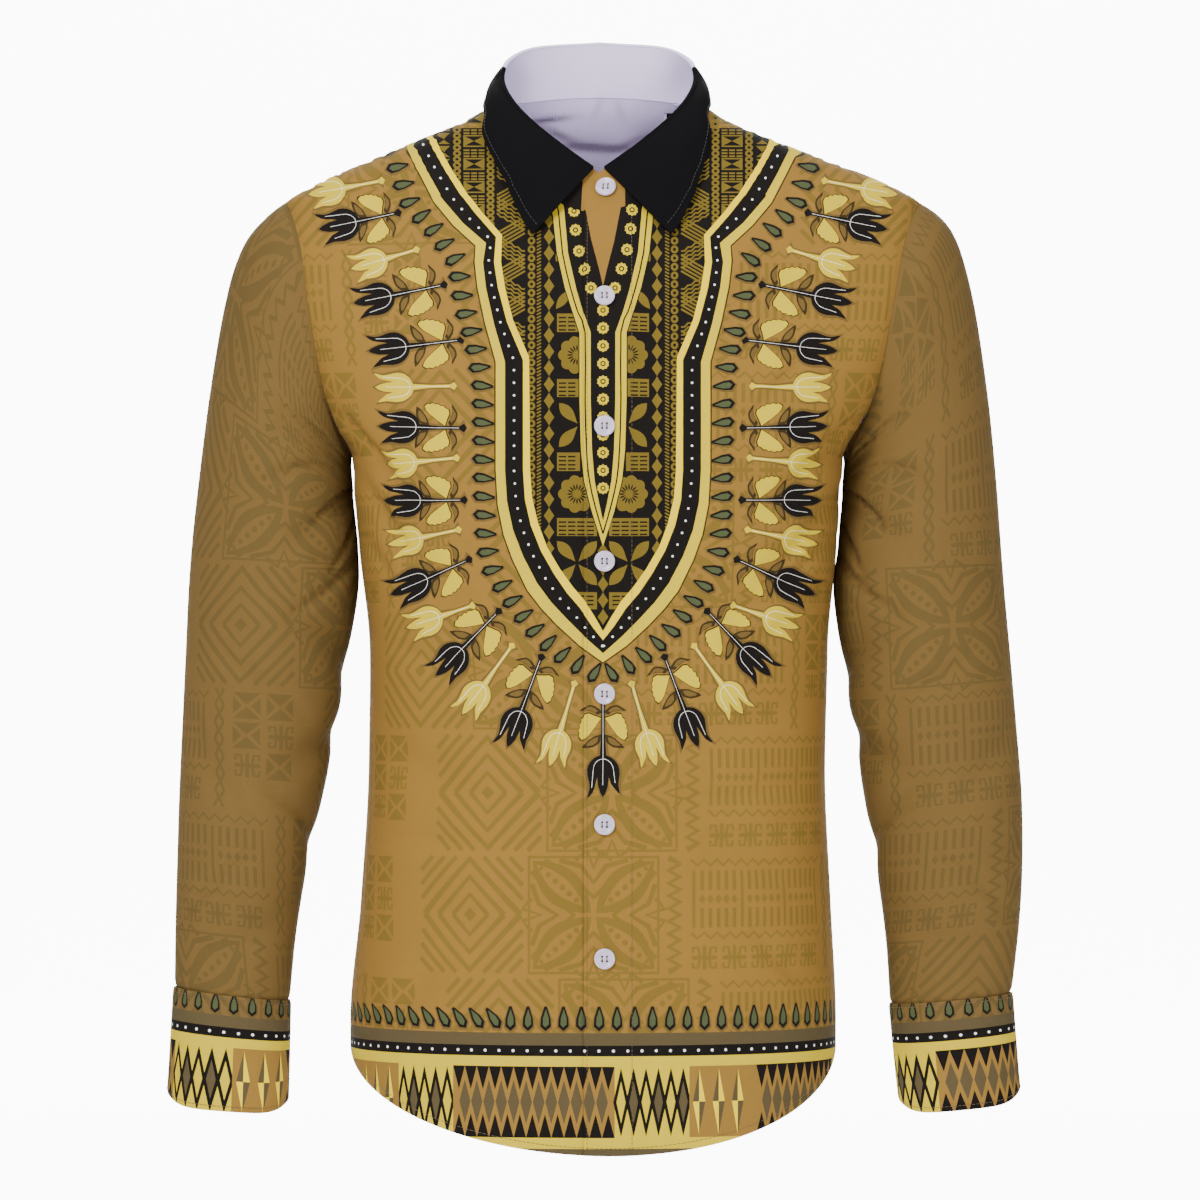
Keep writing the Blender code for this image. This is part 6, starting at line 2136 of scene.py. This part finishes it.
@dataclass
class Collar:
    """The stand and the black fold-down leaf, with the label inside."""

    form: BodyForm
    finish: Finish

    def __post_init__(self) -> None:
        """Makes the curves of the fold and of the leaf's edge."""
        self.fold_height = column(FOLD, FOLD_COLUMNS, "height")
        self.edge_part = column(LEAF, LEAF_COLUMNS, "edge_part")
        self.edge_z = column(LEAF, LEAF_COLUMNS, "edge_z")
        self.end = math.pi / 2 + math.acos(LEAF_HALF_GAP_X / FOLD_HALF_WIDTH)

    def fold(self, azimuth: Array) -> tuple[Array, Array]:
        """The fold's points and normals by the angle round from the centre back."""
        deep = np.where(np.abs(azimuth) > np.pi / 2, FOLD_DEPTH[Face.FRONT], FOLD_DEPTH[Face.BACK])
        x, y = FOLD_CENTRE_X + FOLD_HALF_WIDTH * np.sin(azimuth), deep * np.cos(azimuth)
        z = self.fold_height(np.degrees(np.abs(azimuth)))
        across = np.stack([np.sin(azimuth) / FOLD_HALF_WIDTH, np.cos(azimuth) / deep, 0 * x], axis=-1)
        return np.stack([x, y, z], axis=-1), unit(across)

    def stand_at(self, azimuth: Array, share: Array) -> Array:
        """Points of the stand by angle and by share of the way up."""
        x = float(self.form.centre(NECK_SIDE_Z)) + NECK_HALF_WIDTH * np.sin(azimuth)
        front = np.abs(azimuth) > np.pi / 2
        lift = np.where(azimuth > np.pi / 2, self.form.lap_raise(x), 0.0)
        z = np.where(front, self.form.neck_height(x, Face.FRONT), self.form.neck_height(x, Face.BACK))
        faces = {face: self.form.skin(x, z, face, lift, fine=False)[0] for face in Face}
        base = np.where(front[:, None], faces[Face.FRONT], faces[Face.BACK])
        top, normals = self.fold(azimuth)
        return base + (top + normals * lift[:, None] - base) * share[:, None]

    def leaf_at(self, azimuth: Array, share: Array) -> Array:
        """Points of the leaf by angle and by share of the way down. Below 0 it rolls over the fold."""
        top, normals = self.fold(azimuth)
        front = np.abs(azimuth) > np.pi / 2
        lift = np.where(front, self.form.lap_raise(np.abs(top[:, 0])), 0)
        top = top + normals * (LEAF_SEAM_STEP + COLLAR_WALL + lift)[:, None]
        turned = np.abs(azimuth) / self.end * 180
        z = self.edge_z(turned)
        x = self.form.centre(z) + np.sign(azimuth) * self.edge_part(turned) * self.form.half_width(z)
        faces = {}
        for face in Face:
            points, outward = self.form.skin(x, z, face, fine=False)
            faces[face] = points + outward * LEAF_LIFT
        edge = np.where((turned >= 90)[:, None], faces[Face.FRONT], faces[Face.BACK])
        drop = edge - top
        down = np.maximum(share, 0)[:, None]
        step = 0.002
        ahead, behind = self.fold(azimuth + step)[0], self.fold(azimuth - step)[0]
        lift_way = unit(np.cross(ahead - behind, drop))
        lift_way = lift_way * np.sign(np.sum(lift_way * normals, axis=-1, keepdims=True))
        points = top + drop * down + lift_way * LEAF_BULGE * np.sin(np.pi * down)
        roll = np.clip(-share, 0, 1)[:, None] * math.pi
        radius = (COLLAR_WALL + LEAF_SEAM_STEP + COLLAR_WALL) / 2
        return points + normals * (np.cos(roll) - 1) * radius + np.array([0, 0, 1.0]) * np.sin(roll) * radius

    def build(self, stitching: Stitching) -> None:
        """Makes the stand, the leaf and the label.

        Args:
            stitching: where the leaf's rows of stitches go.
        """
        middle = float(self.form.centre(NECK_SIDE_Z))
        left = math.pi - math.asin((BUTTON_LINE_X - LAP_HALF_X - middle) / NECK_HALF_WIDTH)
        right = -math.pi - math.asin((BUTTON_LINE_X + LAP_HALF_X - middle) / NECK_HALF_WIDTH)
        turns, shares = np.linspace(right, left, 260), np.linspace(0, 1, 12)
        stand = self.band("stand_cloth", self.stand_at, turns, shares, Ink.GROUND, Ink.INSIDE)
        finished(stand, ["collar_stand"])
        shares = np.concatenate([np.linspace(-1, -0.1, 9), np.linspace(0, 1, 26)])
        turns = np.linspace(-self.end, self.end, 320)
        leaf = self.band("leaf_cloth", self.leaf_at, turns, shares, Ink.COLLAR, Ink.COLLAR)
        finished(leaf, ["collar_leaf"])
        azimuth = np.linspace(-self.end + 0.02, self.end - 0.02, 400)
        surface = Surface(self.leaf_at, (-self.end, self.end), (-1, 1), 0.002)
        share = np.full(len(azimuth), 0.90)
        points, normals = self.leaf_at(azimuth, share), surface.normals(azimuth, share)
        normals = normals * np.sign(np.sum(normals * self.fold(azimuth)[1], axis=-1, keepdims=True))
        stitching.row(points + normals * STITCH_LIFT, normals)
        self.label()

    def band(
        self, name: str, place: Callable[[Array, Array], Array], u: Array, v: Array, ink: Ink, inside: Ink
    ) -> bpy.types.Object:
        """A piece of the collar over a grid of angles and shares.

        Args:
            name: the piece's name.
            place: where each angle and share lies.
            u: the angles.
            v: the shares.
            ink: its outer colour.
            inside: its inner colour.

        Returns:
            The piece.
        """
        cut = grid_cut(u, v, ink)
        middles = cut.points[cut.triangles].mean(axis=1)
        cut.inks[(middles[:, 1] < ROLL_PALE_SHARE) & (np.abs(middles[:, 0]) < ROLL_PALE_TURN)] = Ink.INSIDE.rgba
        material = self.finish.collar
        if inside == Ink.INSIDE:
            material = self.finish.body
            turns = np.tile((u[1:] + u[:-1]) / 2, 2 * (len(v) - 1))
            x = place(turns, np.full(len(turns), 0.5))[:, 0]
            cut.inks[(np.abs(turns) > 2) & (np.abs(x - BUTTON_LINE_X) > STAND_TAN_HALF_X)] = Ink.BLACK.rgba
        surface = Surface(place, (float(u[0]), float(u[-1])), (float(v[0]), float(v[-1])), 0.003)
        sample_u, sample_v = np.array([0.3, 1.0, -1.0]), np.full(3, 0.5)
        outward = surface.facing(sample_u, sample_v, self.fold(sample_u)[1])
        flat = np.stack([cut.points[:, 0] * FOLD_HALF_WIDTH, cut.points[:, 1] * 0.05], axis=-1)
        return shell(name, cut, surface, outward, COLLAR_THICKNESS, flat, material, inside)

    def label(self) -> None:
        """A small blank tab inside the back neck, with a pale woven edge."""
        u, v = np.linspace(-0.5, 0.5, 9), np.linspace(0, 1, 9)

        def place(a: Array, b: Array) -> Array:
            """Points of the label."""
            x, z = LABEL_X + LABEL_WIDTH * a, NECK_SIDE_Z - 0.001 - LABEL_DROP * b
            points, normals = self.form.skin(x, z, Face.BACK, fine=False)
            return points - normals * (LABEL_INSET + LABEL_THICKNESS)

        cut = grid_cut(u, v, Ink.COLLAR)
        centre = cut.points[cut.triangles].mean(axis=1)
        cut.inks[centre[:, 0] < -0.38] = Ink.INSIDE.rgba
        surface = Surface(place, (-0.5, 0.5), (0.0, 1.0), 0.01)
        flat = cut.points * LABEL_DROP
        obj = shell("label_tab", cut, surface, -1, LABEL_THICKNESS, flat, self.finish.collar, Ink.COLLAR)
        finished(obj, ["neck_label"])


@dataclass
class Buttons:
    """Four-hole pearly buttons with their sewing thread; the holes are shallow pits painted dark as shade."""

    form: BodyForm
    finish: Finish
    hole_offset: float = 0.0017
    hole_radius: float = 0.00085
    sides: int = 48
    threads: list[tuple[Array, Array, Array, Array]] = field(default_factory=list)
    PROFILE = ((0.955, 0.79), (0.99, 0.62), (1.0, 0.42), (0.97, 0.18), (0.90, 0.03), (0.0, 0.0))

    def __post_init__(self) -> None:
        """Cuts the flat top of a button once."""
        turn = np.linspace(0, 2 * np.pi, self.sides + 1)[:-1]
        rim = np.stack([np.cos(turn), np.sin(turn)], axis=-1) * BUTTON_RADIUS * 0.96
        marks = []
        for sx, sy in CORNERS:
            # The pits are painted dark as the shade of holes that go through.
            marks.append((oval(sx * self.hole_offset, sy * self.hole_offset, self.hole_radius, sides=12), Ink.HOLE_SHADE))
        self.cut = cut_cloth(rim, marks, BUTTON_GRID)

    def height(self, x: Array, y: Array) -> Array:
        """The top's height over the button's back, at places across it."""
        radius = np.hypot(x, y) / BUTTON_RADIUS
        dish = 0.0008 * (1 - smoothstep((radius - 0.62) / 0.14))
        edge = 0.0006 * smoothstep((radius - 0.84) / 0.14)
        found = BUTTON_THICKNESS - dish - edge
        for sx, sy in CORNERS:
            near = np.hypot(x - sx * self.hole_offset, y - sy * self.hole_offset)
            found = found - 0.0014 * (near < self.hole_radius * 0.9)
        return found

    def button(self, name: str, node: str, place: Array, normal: Array, gap: float) -> None:
        """One button and its thread.

        Args:
            name: the piece's name.
            node: the node that it stands for.
            place: the cloth under its centre.
            normal: the cloth's outward normal.
            gap: how far its back lies from the cloth.
        """
        up = unit(np.asarray(normal, dtype=float))
        side = unit(np.cross(up, np.array([0.0, 0.0, 1.0])))
        top = np.cross(side, up)
        base = np.asarray(place) + up * gap
        x, y = self.cut.points[:, 0], self.cut.points[:, 1]

        def lay(a: Array, b: Array, c: Array) -> Array:
            """Points from places across, up and out of the button."""
            return base + np.outer(a, side) + np.outer(b, top) + np.outer(c, up)

        points = [lay(x, y, self.height(x, y))]
        faces = [self.cut.triangles]
        inks = [np.where(self.cut.inks[:, 3:] > 0, self.cut.inks, np.array(Ink.PEARL.rgba))]
        sides = self.sides
        turn = np.linspace(0, 2 * np.pi, sides + 1)[:-1]
        start = len(points[0])
        for radius, height in self.PROFILE:
            reach, out = BUTTON_RADIUS * radius, np.full(sides, BUTTON_THICKNESS * height)
            points.append(lay(np.cos(turn) * reach, np.sin(turn) * reach, out))
        for level in range(len(self.PROFILE) - 1):
            a = start + level * sides + np.arange(sides)
            b = start + level * sides + (np.arange(sides) + 1) % sides
            faces += [np.stack([a, a + sides, b + sides], axis=-1), np.stack([a, b + sides, b], axis=-1)]
            inks.append(np.tile(np.array(Ink.PEARL.rgba), (2 * sides, 1)))
        every = np.concatenate(faces)
        whole = np.concatenate(points)
        flat = np.stack([(whole - base) @ side, (whole - base) @ top], axis=-1) + base[[0, 2]]
        obj = mesh_object(name, whole, every, None, np.concatenate(inks), flat, self.finish.pearl)
        finished(obj, [node])
        self.threads.append((base, side, top, up))

    def build(self, cuffs: Sequence[Cuff]) -> None:
        """Makes every button and the thread through them.

        Args:
            cuffs: the cuffs that carry one each.
        """
        for number, height in enumerate(FRONT_BUTTON_HEIGHTS, start=1):
            spot = np.array([BUTTON_LINE_X]), np.array([height])
            place, normal = self.form.skin(*spot, Face.FRONT, LAP_RAISE, fine=False)
            self.button(f"button_{number}", f"button_front_{number}", place[0], normal[0], BUTTON_GAP)
        for cuff in cuffs:
            word = cuff.side.name.lower()
            place, normal = cuff.button()
            self.button(f"cuff_button_{word}", f"button_cuff_{word}", place, normal, CUFF_BUTTON_GAP)
        low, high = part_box("button_stand")
        centre = (np.array(low) + np.array(high)) / 2
        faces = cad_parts["button_stand"].data.polygons
        best = max(faces, key=lambda p: p.area)
        flat = [np.array(p.normal) * p.area for p in faces if np.dot(p.normal, best.normal) > 0.98]
        normal = unit(np.sum(flat, axis=0))
        normal = normal * (1 if normal[1] < 0 else -1)
        self.button("button_collar", "button_stand", centre - normal * BUTTON_THICKNESS / 2, normal, 0.0)
        stitching = Stitching("button_thread", length=0.0034, gap=0.0001, half_width=0.00042)
        for base, side, top, up in self.threads:
            for shift in (-1, 1):
                middle = base + side * shift * self.hole_offset + up * (BUTTON_THICKNESS - 0.0006)
                ends = np.linspace(-0.0019, 0.0019, 5)
                lift = 0.0004 * (1 - (ends / 0.0019) ** 2)
                path = middle + np.outer(ends, top) + np.outer(lift, up)
                stitching.row(path, np.tile(up, (5, 1)))
        stitching.build(self.finish.tan_thread, "pearl")


@dataclass(frozen=True)
class Studio:
    """The pale floor, the soft lights and the camera."""

    floor_z: float = -1.15
    wall_y: float = 9.0
    curve: float = 2.5
    half_width: float = 12.0
    glow: float = 9.0
    target: tuple[float, float, float] = (0.0, 0.0, -0.35)
    sensor: float = 36.0

    def floor(self) -> None:
        """A pale floor that curves up into a wall behind."""
        turn = np.linspace(0, math.pi / 2, 16)
        bend_y, bend_z = self.wall_y - self.curve, self.floor_z + self.curve
        profile = [(-self.half_width, self.floor_z)]
        profile += [(bend_y + self.curve * math.sin(t), bend_z - self.curve * math.cos(t)) for t in turn]
        profile.append((self.wall_y, 8.0))
        points = [(x, y, z) for y, z in profile for x in (-self.half_width, self.half_width)]
        faces = [(2 * i, 2 * i + 1, 2 * i + 3, 2 * i + 2) for i in range(len(profile) - 1)]
        mesh = bpy.data.meshes.new("floor")
        mesh.from_pydata(points, [], faces)
        mesh.shade_smooth()
        nodes = Nodes("pale_floor")
        place = nodes.node("ShaderNodeTexCoord", output="Object")
        xyz = nodes.node("ShaderNodeSeparateXYZ", {}, {"Vector": place}, "X")
        depth = Sock(nodes, xyz.socket.node.outputs["Y"])
        near = {"Value": xyz.maths("ABSOLUTE", xyz), "From Min": 2.6, "From Max": 3.0, "To Min": 1.0, "To Max": 0.0}
        side = nodes.node("ShaderNodeMapRange", {}, near)
        behind = nodes.node("ShaderNodeMapRange", {}, {"Value": depth, "From Min": 3.4, "From Max": 4.0})
        glow = side * behind
        nodes.feed({"Base Color": (0.9, 0.9, 0.9, 1.0), "Roughness": 0.9, "Specular IOR Level": 0.1})
        light = nodes.node("ShaderNodeCombineColor", {}, {"Red": glow, "Green": glow, "Blue": glow})
        nodes.feed({"Emission Color": light, "Emission Strength": self.glow})
        mesh.materials.append(nodes.material)
        obj = bpy.data.objects.new("floor", mesh)
        bpy.context.scene.collection.objects.link(obj)

    def light(self, name: str, place: tuple[float, float, float], size: float, power: float) -> None:
        """A large soft light that faces the shirt.

        Args:
            name: its name.
            place: where it stands.
            size: its side.
            power: its power in watts.
        """
        data = bpy.data.lights.new(name, "AREA")
        data.energy, data.size = power, size
        obj = bpy.data.objects.new(name, data)
        obj.location = place
        obj.rotation_euler = (Vector(self.target) - Vector(place)).to_track_quat("-Z", "Y").to_euler()
        bpy.context.scene.collection.objects.link(obj)

    def build(self) -> None:
        """Sets the stage."""
        self.floor()
        self.light("key", (-1.5, -3.1, 1.8), 1.3, 175)
        self.light("fill", (1.9, -3.3, 0.2), 1.8, 70)
        self.light("top", (0.0, 0.2, 2.6), 2.4, 60)
        world = bpy.data.worlds.new("studio")
        world.use_nodes = True
        background = world.node_tree.nodes["Background"]
        background.inputs["Color"].default_value = (1.0, 1.0, 1.0, 1.0)
        background.inputs["Strength"].default_value = 0.5
        bpy.context.scene.world = world
        data = bpy.data.cameras.new("camera")
        data.sensor_width = self.sensor
        data.lens = self.sensor / (VIEW_WIDTH / -EYE[1])
        camera = bpy.data.objects.new("camera", data)
        camera.location = EYE
        camera.rotation_euler = (math.pi / 2, 0.0, 0.0)
        bpy.context.scene.collection.objects.link(camera)
        bpy.context.scene.camera = camera


def main() -> None:
    """Builds the whole dressed shirt and its stage."""
    logging.basicConfig(level=logging.INFO, format="%(name)s %(message)s")
    finish = Finish()
    BodyPanels(BODY_FORM, finish).build()
    cuffs = [Cuff(BODY_FORM, side, finish) for side in (Side.LEFT, Side.RIGHT)]
    cuff_stitching = Stitching("cuff_stitching")
    for cuff, seed in zip(cuffs, (31, 47)):
        Sleeve(BODY_FORM, cuff.side, finish).build(seed)
        cuff.build(cuff_stitching)
    cuff_stitching.build(finish.tan_thread, "cuff_cloth")
    leaf_stitching = Stitching("leaf_stitching")
    Collar(BODY_FORM, finish).build(leaf_stitching)
    leaf_stitching.build(finish.black_thread, "collar_cloth")
    Buttons(BODY_FORM, finish).build(cuffs)
    Studio().build()


if __name__ == "__main__":
    main()
